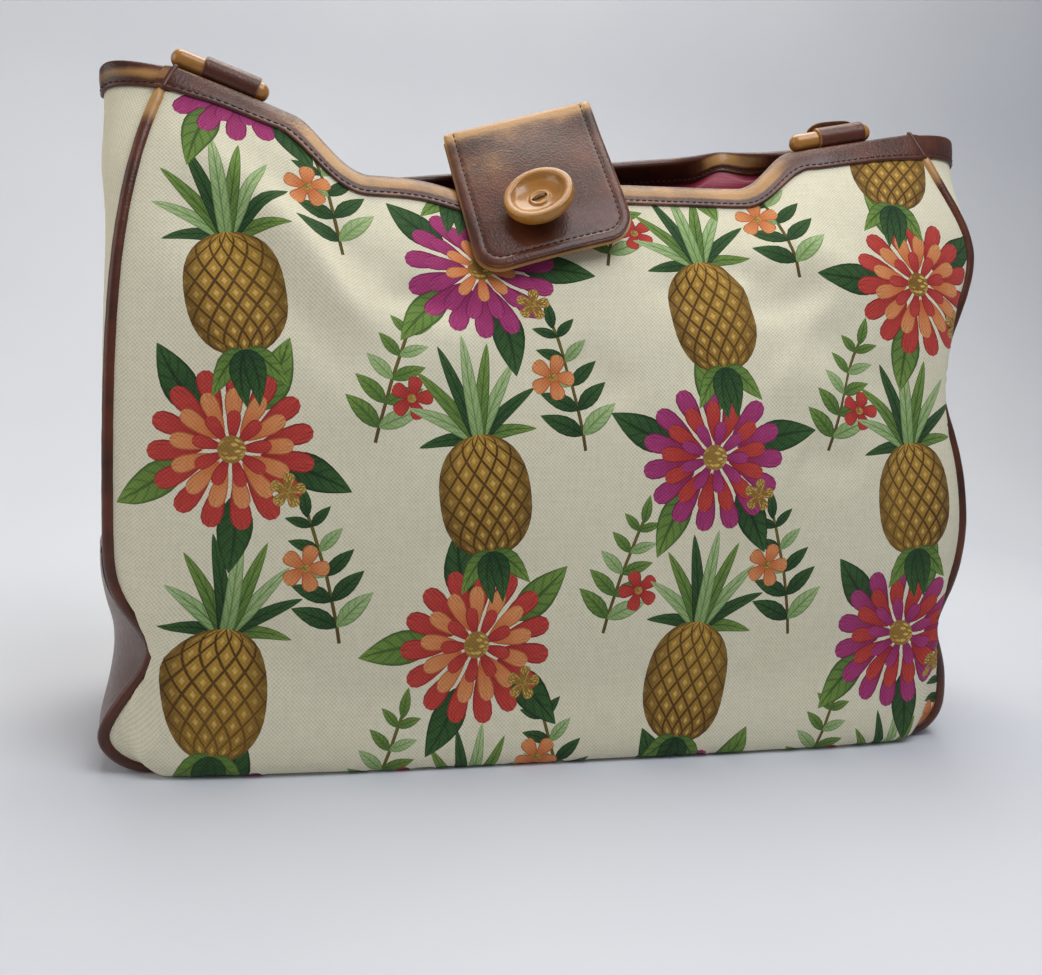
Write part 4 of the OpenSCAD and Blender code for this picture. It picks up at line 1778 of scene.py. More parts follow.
@dataclass
class BasePanel(SubAssembly):
    """The leatherette base inside the piping."""

    def build(self) -> None:
        """Builds the base with softly turned edges."""
        form = self.form
        left = -float(form.half_at(np.array(0.0), np.array(-1), 0)) + form.air
        right = float(form.half_at(np.array(0.0), np.array(1), 0)) - form.air
        keep = form.piping_r + 0.4
        across, along = crowded(90), (crowded(30) + 1) / 2
        grid = []
        for x in mix(left, right, (across + 1) / 2):
            front, back = (float(form.panel_point(f, x, 0.0)[1]) - f * keep for f in (FRONT, BACK))
            y = mix(front, back, along)
            gap = np.minimum(min(x - left, right - x), np.minimum(y - front, back - y))
            grid.append(np.stack([np.full(len(y), x), y, 0.5 * (1 - ease(gap / 2.2))], axis=-1))
        points = np.array(grid).reshape(-1, 3)
        draft = Draft(points, grid_faces(len(across), len(along)))
        draft.thicken(np.array([0.0, 0.0, -1.0]), 1.0)
        draft.values = {"burnish": np.zeros(len(draft.points))}
        piece = draft.piece("base_panel_leatherette", [self.finishes.boot])
        settle(piece, ["base_panel"])


@dataclass
class LiningPouch(SubAssembly):
    """The crimson lining, loose inside the canvas and tucked under the bands.

    Attributes:
        slack: Gap between the canvas and the lining.
        front_slack: The same gap behind the front, whose folds are deeper.
        inset: How far the lining keeps from the seams.
        floor_z: Height of its floor.
        wall: Thickness of the satin.
    """

    slack: float = 3.4
    front_slack: float = 8.0
    inset: float = 8.0
    floor_z: float = 2.6
    wall: float = 0.2

    def ring(self, s: float) -> Array:
        """Gives one ring of points, where s is 0 at the foot and 1 under the bands.

        Args:
            s: Share of the way up.

        Returns:
            Points round the pouch.
        """
        form = self.form
        low = self.inset / (form.body_h - form.seam_z)
        d = mix(form.band_h + 5, 9.0, ease((s - 0.9) / 0.1)) if s > 0.9 else form.band_h + 5
        up = min(1.0, s / 0.9)
        tuck = float(ease(np.array((s - 0.86) / 0.1)))
        front, out = (form.canvas_t / 2 + mix(gap, 0.2, tuck) for gap in (self.front_slack, self.slack))
        parts = []
        for face, side in ((FRONT, RIGHT), (BACK, LEFT)):
            u = np.linspace(-1, 1, 84) * (1 if face == FRONT else -1)
            sides = np.where(u < 0, -1, 1)
            x = u * form.half_at(np.full(84, mix(low, 0.945, up)), sides, self.inset)
            tall = form.band_share(BACK, x, np.full(84, -1.0)) if face == BACK else 1.0
            v = mix(low, form.below(face, x, d * tall), up)
            wave = 1.1 * np.sin(14 * u + 5 * up) * math.sin(math.pi * min(1, up)) * (1 - abs(u) ** 6)
            gap = front if face == FRONT else out
            parts.append(form.panel_offset(face, x, v, -gap - np.maximum(wave, -1.0)))
            t = np.linspace(-0.84, 0.84, 20) * (1 if side == RIGHT else -1)
            v = mix(low, form.side_below(side, t, d), up)
            parts.append(form.side_offset(side, t, v, -out * np.ones(20)))
        return np.vstack(parts)

    def build(self) -> None:
        """Builds the pouch with its floor."""
        shares = np.concatenate([np.linspace(0, 0.9, 44) ** 1.15 / 0.9**0.15, np.linspace(0.91, 1, 10)])
        rings = np.array([self.ring(float(s)) for s in shares])
        count = rings.shape[1]
        flat = rings[0] * [1, 1, 0]
        floor = [k * flat + [0, 0, self.floor_z] for k in (0.3, 0.65, 0.9)]
        grid = np.vstack([np.array(floor), rings])
        points = np.vstack([grid.reshape(-1, 3), [[0, 0, self.floor_z]]])
        hub = len(points) - 1
        faces = [*grid_faces(len(grid), count, True), *[[hub, (k + 1) % count, k] for k in range(count)]]
        outward = grid_normals(grid)
        outward *= np.sign((outward[20] * grid[20])[:, :2].sum())
        outward[:3] = [0, 0, -1]
        draft = Draft(points, faces)
        draft.thicken(np.vstack([outward.reshape(-1, 3), [[0, 0, -1]]]), self.wall)
        piece = draft.piece("lining_satin", [self.finishes.satin], sharp=70)
        settle(piece, ["lining"])


@dataclass
class MouthBands(SubAssembly):
    """The leatherette bands folded over the mouth.

    Attributes:
        stitch_at: Height of the stitches above a band's lower edge.
        left_shown: Share of the full height that the left side's band shows.
    """

    stitch_at: float = 2.6
    left_shown: float = 0.88

    def profile(self) -> Array:
        """Gives a band's closed section: distance below the fold, and outwards.

        Returns:
            Pairs, one for each point of the section.
        """
        form = self.form
        h, w, i = form.band_h, form.band_out, form.band_in
        down = np.array([2.2, 3.4, 5.0, 7.0, 9.0, 10.6, 11.6, 12.4, 13.2, 14.2, 14.8])
        puff = 0.3 * bell(down, 6.5, 3.5) - 0.35 * bell(down, h - self.stitch_at, 0.7) - 0.35 * (down > 14.5)
        leg = np.stack([down, w + puff], axis=-1)
        turn = np.linspace(math.pi * 0.04, math.pi * 0.96, 13)
        fold = np.stack([2.0 * (1 - np.sin(turn)), w * np.cos(turn)], axis=-1)
        under = np.array([[h, i + 0.2], [h - 1, i], [7, i], [3.4, i], [1.9, 0.6 * i], [1.5, 0]])
        mirror = np.array([1, -1])
        return np.vstack([under[::-1], leg[::-1], fold, leg * mirror, under[:-1] * mirror])

    def sweep(self, name: str, rings: Array, burnish: Array, extra: tuple[Draft, ...] = ()) -> None:
        """Closes swept rings into a band.

        Args:
            name: The CAD node that it stands for.
            rings: Points of each section along the band.
            burnish: Share of tan at each point, partly rubbing wear and partly painted highlight.
            extra: Drafts that are sewn on it.
        """
        n, k = rings.shape[:2]
        caps = [list(range(k)), list(range((n - 1) * k, n * k))]
        draft = Draft(rings.reshape(-1, 3), [*grid_faces(n, k, True), *caps], {"burnish": burnish.ravel()})
        for part in extra:
            draft.join(part)
        piece = draft.piece(f"{name}_leatherette", [self.finishes.leather])
        settle(piece, [name])

    def lay(self, face: Face, x: Array, d: Array, out: Array) -> Array:
        """Gives points of a band, laid square to the mouth line.

        Args:
            face: Front or back.
            x: Places along the mouth line.
            d: Distances below the fold on a band of full height.
            out: Distances outwards.

        Returns:
            Points in millimetres.
        """
        form = self.form
        d = d * form.band_share(face, x, out)
        step = 7.0
        high, low = form.mouth_z(face, x + step, 1.5), form.mouth_z(face, x - step, 1.5)
        lean = np.arctan((high - low) / (2 * step)) * ease((form.half_m - np.abs(x)) / 30)
        spread = form.seam_half(1 - d / form.body_h, np.sign(x)) - form.half_m
        over = x + d * np.sin(lean) + np.sign(x) * spread * ease((np.abs(x) - form.half_m + 26) / 26)
        fall = form.mouth_z(face, over) - form.mouth_z(face, x) + d * np.cos(lean)
        return form.panel_offset(face, over, form.below(face, over, fall), out)

    def rubbed_and_highlit(self, face: Face, x: Array, d: Array, out: Array) -> Array:
        """Gives the tan of the front or back band, partly rubbing wear and partly painted highlight.

        Args:
            face: Front or back.
            x: Places across.
            d: Distances below the fold.
            out: Distances outwards.

        Returns:
            Shares from 0 to 1.
        """
        if face == FRONT:
            # Tan along the low middle and its S steps is partly rubbing wear and partly painted highlight;
            # the dip round x = -30, under the flap, is painted shade.
            low = ease((x + 150) / 34) * ease((128 - x) / 26)
            patches = 0.25 * bell(x, -112, 26) + 0.2 * bell(x, 82, 30) - 0.3 * bell(x, -30, 26)
            worn = low * (0.62 + patches) + 0.5 * ease((-x - 184) / 3)
        else:
            # The tan where the back's mouth flops back at the right is partly painted highlight.
            worn = 0.95 * bell(x, 101, 20) + 0.35 * bell(x, -110, 40)
        across = ease((d - 0.6) / 3.0) * ease((11.2 - d) / 2.2) + 0.5 * bell(d, 14.2, 0.8)
        # The back band's inner face keeps its full tan as painted light, though it lies in shade; the front's
        # inner face keeps less.
        inside = 0.4 if face == FRONT else 1.0
        return np.clip(worn * across, 0, 1) * np.where(out > -0.5, 1.0, inside)

    def face_band(self, face: Face) -> None:
        """Builds the band of the front or the back.

        Args:
            face: Front or back.
        """
        name = node_name(face, "band")
        reach = self.form.half_m + 3.2
        p = self.profile()
        x = np.broadcast_to(np.linspace(-reach, reach, 320)[:, None], (320, len(p)))
        d, out = np.broadcast_to(p[:, 0], x.shape), np.broadcast_to(p[:, 1], x.shape)
        rings = self.lay(face, x, d, out)
        return self.sweep(name, rings, self.rubbed_and_highlit(face, x, d, out))

    def corner(self, face: Face, side: Side) -> Draft:
        """Builds the raised seam where two bands meet.

        Args:
            face: Front or back.
            side: Left or right.

        Returns:
            A closed ridge.
        """
        form = self.form
        d = np.linspace(-0.8, form.band_h + 0.5, 26)
        path = self.lay(face, np.full(26, side * (form.half_m - 1.2)), d, np.full(26, form.band_out - 0.75))
        wide = 1.45 * np.sqrt(np.maximum(0.05, 1 - np.linspace(-1, 1, 26) ** 8))
        ridge = tube(path, wide, 12)
        ridge.values = {"burnish": np.full(len(ridge.points), 0.0)}
        return ridge

    def shown(self, side: Side) -> float:
        """Gives the share of the full height that a side band shows."""
        return self.left_shown if side == LEFT else 1.0

    def side_band(self, side: Side) -> None:
        """Builds the band of one side, with the raised seams at its ends.

        Args:
            side: Left or right.
        """
        name = node_name(side, "band")
        form = self.form
        t = np.linspace(-1, 1, 110)[:, None]
        p = self.profile()
        d, out = np.broadcast_to(p[:, 0], (110, len(p))), np.broadcast_to(p[:, 1], (110, len(p)))
        ts = np.broadcast_to(t, d.shape)
        rings = form.side_offset(side, ts, form.side_below(side, ts, d * self.shown(side)), out)
        # Tan on the side bands, far more on the left, is partly rubbing wear and partly painted highlight.
        gold = 0.8 if side == LEFT else 0.22
        worn = gold * bell(ts, -0.7, 0.75) * bell(d, 7.4, 3.6) + 0.3 * gold * bell(d, 14.2, 0.8)
        ridges = self.corner(FRONT, side), self.corner(BACK, side)
        return self.sweep(name, rings, np.clip(worn, 0, 1), ridges)

    def stitch_lines(self) -> list[tuple[Array, Array]]:
        """Gives the stitch lines of all bands and boots.

        Returns:
            Points and outward directions of each line.
        """
        form = self.form
        sides = SidePanels(form, self.finishes)
        d = form.band_h - self.stitch_at
        lines = []
        for face in (FRONT, BACK):
            x = np.linspace(-form.half_m + 5, form.half_m - 5, 260)
            for leg in (1, -1):
                out = np.full(260, leg * (form.band_out - 0.12))
                line = self.lay(face, x, np.full(260, d), out)
                lines.append((line, unit(line - self.lay(face, x, np.full(260, d), 0.3 * out))))
        for side in (LEFT, RIGHT):
            t = np.linspace(-0.96, 0.96, 90)
            v = form.side_below(side, t, np.full(90, d * self.shown(side)))
            normal = form.side_normal(side, t, v)
            for leg in (1, -1):
                out = np.full(90, leg * (form.band_out - 0.1))
                lines.append((form.side_offset(side, t, v, out), leg * normal))
            t = np.linspace(-0.97, 0.97, 90)
            v = np.full(90, form.boot_share + sides.turn_up - sides.stitch_at / form.body_h)
            lift = form.canvas_t / 2 + 0.35 + sides.folds(side, t, v)
            lines.append((form.side_offset(side, t, v, lift), form.side_normal(side, t, v)))
        return lines


@dataclass
class SeamPiping(SubAssembly):
    """The corded piping down the seams and along the foot."""

    def path(self, face: Face) -> tuple[Array, Array, Array]:
        """Gives the seam's centre line, its shares of tan and its thinning under the bands.

        Args:
            face: Front or back.

        Returns:
            Points, shares of tan and shares of the full radius.
        """
        form = self.form
        top = float(form.below(face, np.array(form.half_m), form.band_h - 8.0))
        turns = form.corner_r * (1 - np.cos(np.linspace(0, math.pi / 2, 18))) / (form.body_h - form.seam_z)
        climb = np.concatenate([turns, np.linspace(turns[-1], top, 170)[1:]])
        one = np.ones(len(climb))
        left = form.panel_point(face, -form.half_at(climb, -one, 0), climb)
        right = form.panel_point(face, form.half_at(climb, one, 0), climb)
        foot = form.panel_point(face, np.linspace(left[0, 0], right[0, 0], 130)[1:-1], np.zeros(128))
        # Tan near the top of the piping is partly rubbing wear and partly painted highlight.
        rub_and_highlight = 0.9 * ease((climb - 0.9) / 0.04)
        worn = np.concatenate([rub_and_highlight[::-1], np.zeros(128), rub_and_highlight])
        thin = 1 - 0.5 * ease((climb - top + 0.03) / 0.02)
        return np.vstack([left[::-1], foot, right]), worn, np.concatenate([thin[::-1], np.ones(128), thin])

    def build(self, face: Face) -> None:
        """Builds the piping of one face.

        Args:
            face: Front or back.
        """
        name = node_name(face, "piping")
        path, worn, thin = self.path(face)
        wobble = thin + 0.02 * np.sin(np.arange(len(path)) * 0.7) * np.sin(np.arange(len(path)) * 0.23)
        draft = tube(path, self.form.piping_r * wobble, 14)
        draft.values = {"burnish": np.repeat(worn, 14)}
        piece = draft.piece(f"{name}_leatherette", [self.finishes.leather])
        settle(piece, [name])


@dataclass
class FoldFlap(SubAssembly):
    """The closing flap, its backing and its button.

    It lies in its own frame: X along the fold, -Y down its length, Z outwards.
    """

    width: float = 78.0
    length: float = 88.0
    slant: float = -9.0
    tilt: float = 17.0
    slope: float = 47.0
    corner: float = 14.0
    roll: float = 2.6
    fold_r: float = 3.6
    ply: float = 1.4
    button_d: float = 34.0
    button_t: float = 8.0
    button_at: tuple[float, float] = (-9.5, -63.5)
    button_lean: float = 8.0
    button_roll: float = 13.0
    hole_at: float = 2.6
    hole_r: float = 1.25
    strand_r: float = 0.42
    fold_x: float = -22.5
    fold_y: float = 4.0
    fold_drop: float = 8.5
    stitch_in: float = 5.2

    @property
    def fold(self) -> Array:
        """Middle of the fold."""
        return np.array([self.fold_x, self.fold_y, self.form.body_h - self.fold_drop])

    @property
    def frame(self) -> Array:
        """Rotation of the flap's frame."""
        return turned(-self.tilt, "Y") @ turned(self.slope, "X")

    @property
    def outward(self) -> Array:
        """Direction out of the flap's face."""
        return self.frame @ np.array([0, 0, 1.0])

    def place(self, points: Array) -> Array:
        """Carries points from the flap's frame to the bag's."""
        return self.fold + points @ self.frame.T

    def edges(self, y: Array, grow: float) -> tuple[Array, Array]:
        """Gives the flap's left and right edges at places down its length.

        Args:
            y: Places, from 0 at the fold to minus the length.
            grow: How far the outline stands out.

        Returns:
            X of the left and the right edge.
        """
        lean = self.slant * -y / self.length
        gap = np.clip(y + self.length + grow, 0, self.corner)
        cut = self.corner - np.sqrt(np.maximum(0, self.corner**2 - (self.corner - gap) ** 2))
        return lean - self.width / 2 - grow + cut, lean + self.width / 2 + grow - cut

    def rim_gap(self, x: Array, y: Array) -> Array:
        """Gives the distance of a place from the flap's rim.

        Args:
            x: Places along the fold.
            y: Places down the flap, from 0 to minus its length.

        Returns:
            Distances.
        """
        lean = self.slant * -y / self.length
        side = np.minimum(x - lean + self.width / 2, self.width / 2 - x + lean)
        foot = y + self.length
        r = self.corner
        round_gap = r - np.hypot(np.maximum(r - side, 0), np.maximum(r - foot, 0))
        return np.where((side < r) & (foot < r), round_gap, np.minimum(side, foot))

    def swell(self, x: Array, y: Array) -> Array:
        """Gives the flap's soft bow and the dip round its stitches.

        Args:
            x: Places along the fold.
            y: Places down the flap, from 0 to minus its length.

        Returns:
            Heights.
        """
        gap = self.rim_gap(x, y)
        lean = self.slant * -y / self.length
        bow = 0.9 * bell(y, -34, 24) * bell(x - lean, 0, 30) - 2.6 * ease((-y - 60) / 30)
        bow = bow - 1.5 * ((x - lean) / (self.width / 2)) ** 2 * ease(-y / 26)
        seam = 0.2 * bell(gap, 3.0, 1.2) - 0.35 * bell(gap, self.stitch_in, 0.8)
        return bow + seam - 0.55 * (1 - ease(gap / 1.6))

    def fold_end(self, reach: float) -> float:
        """Gives the share of the width left by the rounded ends of the fold.

        Args:
            reach: How far a row lies from the start of the rounding.

        Returns:
            A share.
        """
        r = self.fold_r
        gap = min(r, reach)
        return 1 - (r - math.sqrt(r * r - (r - gap) ** 2)) / (self.width / 2)

    def skin(self) -> None:
        """Builds the outer skin from its sewn end, over the fold and down."""
        form = self.form
        across = crowded(76)
        flat = np.ones(76)
        mid = self.roll - self.ply / 2
        x0 = across * (self.width / 2)

        def over_fold(a: float, reach: float) -> Array:
            """Gives a row of points at an angle round the fold, drawn in at its ends."""
            row = [x0 * self.fold_end(reach), flat * mid * math.sin(a), flat * mid * math.cos(a)]
            return self.place(np.stack(row, axis=-1))

        s = self.fold[0] + (0.75 * x0 + 6) * math.cos(math.radians(self.tilt))
        lie = form.band_out + 1.2 + self.ply / 2
        low = form.panel_offset(BACK, s, form.below(BACK, s, flat * (form.band_h - 1)), -lie * flat)
        high = form.panel_offset(BACK, s, form.below(BACK, s, flat * 4.0), -(lie + 0.5) * flat)
        knots = np.stack([low, high, over_fold(2.3, 0.0), over_fold(1.9, 0.0)], axis=1)
        tail = np.array([smooth_path(column, 7) for column in knots])
        rows = [tail[:, k] for k in range(tail.shape[1])]
        wear_and_highlight_marks = [flat * 0.1 for _ in rows]
        # Round the fold the tan grows towards its top: rubbing wear and painted highlight.
        for a in np.linspace(1.75, 0.0, 14, endpoint=False):
            rows.append(over_fold(a, max(0.0, 0.79 - a) * self.roll))
            wear_and_highlight_marks.append(flat * (0.25 + 0.75 * float(ease(np.array(1.9 - a)))))
        for y in -self.length * np.sin(np.linspace(0, math.pi / 2, 90)):
            left, right = self.edges(np.full(1, y), 0.0)
            x = mix(left, right, (across + 1) / 2) * self.fold_end(0.79 * self.roll - y)
            z = mid + self.swell(x, flat * y)
            rows.append(self.place(np.stack([x, flat * y, z], axis=-1)))
            # Tan along the fold and in a patch on the face is partly rubbing wear and partly painted
            # highlight; the lighter rim is wear.
            gold = 0.72 * bell(y, 0.0, 4.0) + 0.42 * bell(y, 0.0, 19.0)
            gold = gold + 0.3 * bell(y, -27, 9) * bell(x, -24, 14)
            rim = 0.3 * (1 - ease(self.rim_gap(x, flat * y) / 1.3))
            wear_and_highlight_marks.append(np.clip(gold + rim, 0, 1))
        grid = np.array(rows)
        normals = grid_normals(grid)
        n, k = grid.shape[:2]
        middle = n - 45
        normals = normals * np.sign(normals[middle, k // 2] @ self.outward)
        face = (grid + normals * self.ply / 2).reshape(-1, 3)
        draft = Draft(face, grid_faces(n, k), {"burnish": np.array(wear_and_highlight_marks).ravel()})
        draft.thicken(normals.reshape(-1, 3), self.ply)
        piece = draft.piece("flap_leatherette", [self.finishes.leather])
        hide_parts("flap", "flap_tail")
        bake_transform(piece)
        log.info("%s: %d faces, bends from bag to flap", piece.name, len(piece.data.polygons))

    def backing(self) -> None:
        """Builds the tan under-layer, which shows at the lower edge."""
        across = crowded(60)
        top = -(self.roll + 0.25)
        down = top + (-self.length - 0.5 - top) * np.sin(np.linspace(0, math.pi / 2, 70))
        face = self.roll - self.ply - 0.2
        rows = []
        for y in down:
            left, right = self.edges(np.full(1, y), 0.5)
            x = mix(left, right, (across + 1) / 2)
            bow = np.minimum(0.0, self.swell(x, np.full(60, y)))
            rows.append(self.place(np.stack([x, np.full(60, y), face + bow - 0.1], axis=-1)))
        grid = np.array(rows)
        normals = np.broadcast_to(self.outward, grid.shape)
        draft = Draft(grid.reshape(-1, 3), grid_faces(70, 60))
        draft.thicken(normals.reshape(-1, 3), self.ply)
        draft.values = {"burnish": np.zeros(len(draft.points))}
        piece = draft.piece("flap_backing_leatherette", [self.finishes.tan])
        settle(piece, ["flap_backing"], "flap")

    @property
    def button_lift(self) -> float:
        """Height of the button's middle over the flap, as it leans on its rim."""
        upright = math.cos(math.radians(self.button_lean)) * math.cos(math.radians(self.button_roll))
        return (self.button_d / 2 - 3.5) * math.sin(math.acos(upright))

    def in_button(self, points: Array) -> Array:
        """Carries points from the button's frame to the bag's.

        Args:
            points: Points in the button's frame.

        Returns:
            Points in the bag's frame.
        """
        turn = turned(-self.button_roll, "Y") @ turned(-self.button_lean, "X")
        lift = self.roll + self.form.air + self.button_lift
        return self.place(points @ turn.T + np.array([*self.button_at, lift]))

    def button(self) -> None:
        """Builds the dished wooden button with its two holes."""
        r, t = self.button_d / 2, self.button_t
        shape = np.array(
            [
                [r - 5.0, 0.0], [r - 3.4, 0.3], [r - 1.2, 2.0], [r - 0.2, 4.0], [r, 5.6], [r - 0.15, 7.1],
                [r - 0.6, 7.8], [r - 1.4, t], [r - 3.2, 7.95], [r - 3.9, 7.6], [r - 4.4, 6.9], [r - 6.0, 5.4],
                [r - 9.0, 4.2], [5.9, 3.75], [5.3, 3.85], [4.8, 4.35], [4.2, 4.5], [3.0, 4.35],
            ]
        )
        profile = np.vstack([[0.0, 0.0], smooth_path(shape, 5), [0.0, 4.25]])
        body = lathe(profile, 112)
        body.points = self.in_button(body.points)
        piece = body.piece("flap_button_wood", [self.finishes.button_wood], sharp=60)
        for side in (-1, 1):
            drill = np.array([[0, -2.0], [self.hole_r, -2.0], [self.hole_r, t + 2], [0, t + 2]])
            hole = lathe(drill, 28)
            hole.points = self.in_button(hole.points + np.array([side * self.hole_at, 0, 0]))
            cutter = hole.piece(f"button_hole_{side}", [self.finishes.button_wood])
            cut = piece.modifiers.new("hole", "BOOLEAN")
            cut.operation, cut.object, cut.solver = "DIFFERENCE", cutter, "EXACT"
            graph = bpy.context.evaluated_depsgraph_get()
            mesh = bpy.data.meshes.new_from_object(piece.evaluated_get(graph))
            piece.modifiers.clear()
            piece.data = mesh
            bpy.data.objects.remove(cutter)
        mesh = piece.data
        mesh.shade_smooth()
        mesh.set_sharp_from_angle(angle=math.radians(50))
        settle(piece, ["flap_button"], "flap")

    def thread(self) -> None:
        """Builds the strands through the button's holes."""
        stub = self.button_lift - 0.7
        far = self.hole_at
        half = [(far, -stub + 0.2), (far, 2.0), (far - 0.15, 4.3), (1.4, 5.0)]
        bridge = [(-x, z) for x, z in half] + [(0, 5.15)] + half[::-1]
        strands = []
        for y in (-0.62, 0.0, 0.62):
            path = smooth_path(np.array([[x, y, z] for x, z in bridge]), 6)
            strand = tube(path, self.strand_r, 8)
            strand.points = self.in_button(strand.points)
            strands.append(strand)
        made = strands[0]
        for strand in strands[1:]:
            made.join(strand)
        piece = made.piece("button_thread_strands", [self.finishes.button_thread])
        settle(piece, ["button_thread"], "flap")

    def stitch_line(self) -> list[tuple[Array, Array]]:
        """Gives the stitched border, down one side, along the foot and up the other.

        Returns:
            Points and outward directions of the one line.
        """
        inset = self.stitch_in
        h, r = self.width / 2 - inset, self.corner - inset
        foot = -self.length + inset
        turn = np.linspace(0, math.pi / 2, 14)
        left = [(-h, y) for y in np.linspace(-1.5, foot + r, 60)]
        left += [(-h + r - r * math.cos(a), foot + r - r * math.sin(a)) for a in turn[1:]]
        base = [(x, foot) for x in np.linspace(-h + r, h - r, 50)[1:-1]]
        right = [(-x, y) for x, y in reversed(left)]
        flat = np.array([*left, *base, *right])
        flat[:, 0] += self.slant * -flat[:, 1] / self.length
        z = self.roll + self.swell(flat[:, 0], flat[:, 1]) + 0.12
        out = np.tile(self.outward, (len(flat), 1))
        return [(self.place(np.column_stack([flat, z])), out)]


@dataclass
class ToggleRods(SubAssembly):
    """The wooden rods and the strap sleeves that carry them.

    Attributes:
        rod_d: Diameter of a rod.
        rod_l: Length of a rod.
        sleeve_l: Length of a sleeve.
        sleeve_r: Outer radius of a sleeve.
        rod_shift: How far a rod is pushed to the left in its sleeve.
        left_at: Place of the left sleeve, as a share of the mouth's half width.
        right_at: The same for the right sleeve.
        lift: Gap between a sleeve and the mouth line.
    """

    rod_d: float = 9.2
    rod_l: float = 46.0
    sleeve_l: float = 26.0
    sleeve_r: float = 6.08
    rod_shift: float = 5.0
    left_at: float = -0.865
    right_at: float = 0.793
    lift: float = 0.8

    def at(self, side: Side, points: Array) -> Array:
        """Carries points from a sleeve's frame, X along the rod, to the bag's.

        Args:
            side: Left or right.
            points: Points in the sleeve's frame.

        Returns:
            Points in the bag's frame.
        """
        form = self.form
        x = (self.left_at if side == LEFT else self.right_at) * form.half_m
        up = unit(form.panel_rise(FRONT, np.array(x), np.array(1.0)))
        slope = form.left_fall if side == LEFT else -form.right_fall
        centre = form.panel_point(FRONT, x, 1.0) + (self.sleeve_r + self.lift) * up
        return centre + points @ turned(math.degrees(math.atan(slope)), "Y").T

    def rod(self, side: Side) -> None:
        """Builds one rod with rounded ends.

        Args:
            side: Left or right.
        """
        name = node_name(side, "rod")
        r, h = self.rod_d / 2, self.rod_l / 2
        a = np.linspace(0, math.pi / 2, 14)
        end = np.stack([r * np.sin(a), -h + r - r * np.cos(a)], axis=-1)
        z = np.linspace(-h + r, h - r, 26)[1:-1]
        barrel = np.stack([r * (1 - 0.004 * (1 + np.cos(z * 0.45))), z], axis=-1)
        profile = np.vstack([end, barrel, (end * [1, -1])[::-1]])
        draft = lathe(profile, 44)
        draft.points = self.at(side, draft.points[:, [2, 1, 0]] * [1, 1, -1] - [self.rod_shift, 0, 0])
        piece = draft.piece(f"{name}_wood", [self.finishes.rod_wood])
        settle(piece, [name], name)

    def sleeve(self, side: Side) -> None:
        """Builds one strap, rolled round its rod and tucked into the band.

        Args:
            side: Left or right.
        """
        name = node_name(side, "loop")
        inner = self.rod_d / 2 + 0.1
        mid = (inner + self.sleeve_r) / 2
        turn = np.radians(np.linspace(-62, 242, 60))
        loop = np.stack([mid * np.cos(turn), mid * np.sin(turn)], axis=-1)
        legs = np.array([[1.15, -7.4], [1.3, -6.4], [1.75, -5.6]])
        path = np.vstack([legs, loop, (legs * [-1, 1])[::-1]])
        xs = self.sleeve_l / 2 * crowded(40)
        grid = np.array([[[x, y, z] for x in xs] for y, z in path])
        normals = grid_normals(grid)
        normals = normals * np.sign((normals[30, 20] * np.array([0, grid[30, 20, 1], grid[30, 20, 2]])).sum())
        half = (self.sleeve_r - inner) / 2
        rim = 1 - np.abs(xs) / (self.sleeve_l / 2)
        round_off = (0.35 * (1 - ease(rim / 0.06)))[None, :, None]
        skin = grid + normals * (half - round_off)
        # The rim's tan is wear; the tan along the top of the roll is a painted highlight.
        worn_rim, top_highlight = 0.55 * (1 - ease(rim / 0.09)), 0.22 * bell(path[:, 1], 5.3, 1.6)
        wear_and_highlight = np.clip(worn_rim[None, :] + top_highlight[:, None], 0, 1)
        draft = Draft(skin.reshape(-1, 3), grid_faces(len(path), 40), {"burnish": wear_and_highlight.ravel()})
        draft.thicken(normals.reshape(-1, 3), 2 * half - 0.35)
        if side == RIGHT:
            draft.join(self.strap_end())
        draft.points = self.at(side, draft.points)
        piece = draft.piece(f"{name}_leatherette", [self.finishes.leather])
        settle(piece, [name])

    def strap_end(self) -> Draft:
        """Builds the strap's free end, which stands behind the right sleeve.

        Returns:
            A closed draft.
        """
        xs = np.linspace(-self.sleeve_l / 2 - 2, self.sleeve_l / 2 - 2, 26)
        up = np.linspace(0, 1, 16)
        tops = self.sleeve_r + 2.2 - 2.4 * np.abs(np.linspace(-1, 1, 26)) ** 5
        tops = tops + 0.4 * np.sin(np.linspace(0, 5, 26))
        y = self.sleeve_r + 0.05
        grid = np.array([[[x, y - 1.6 * s**3, mix(-1.0, top, s)] for s in up] for x, top in zip(xs, tops)])
        draft = Draft(grid.reshape(-1, 3), grid_faces(26, 16))
        # The tan that grows towards its top edge is a painted highlight.
        mark = np.tile(0.1 + 0.5 * up**6, (26, 1))
        draft.values = {"burnish": mark.ravel()}
        draft.thicken(np.array([0.0, 1.0, 0.0]), 1.2)
        return draft


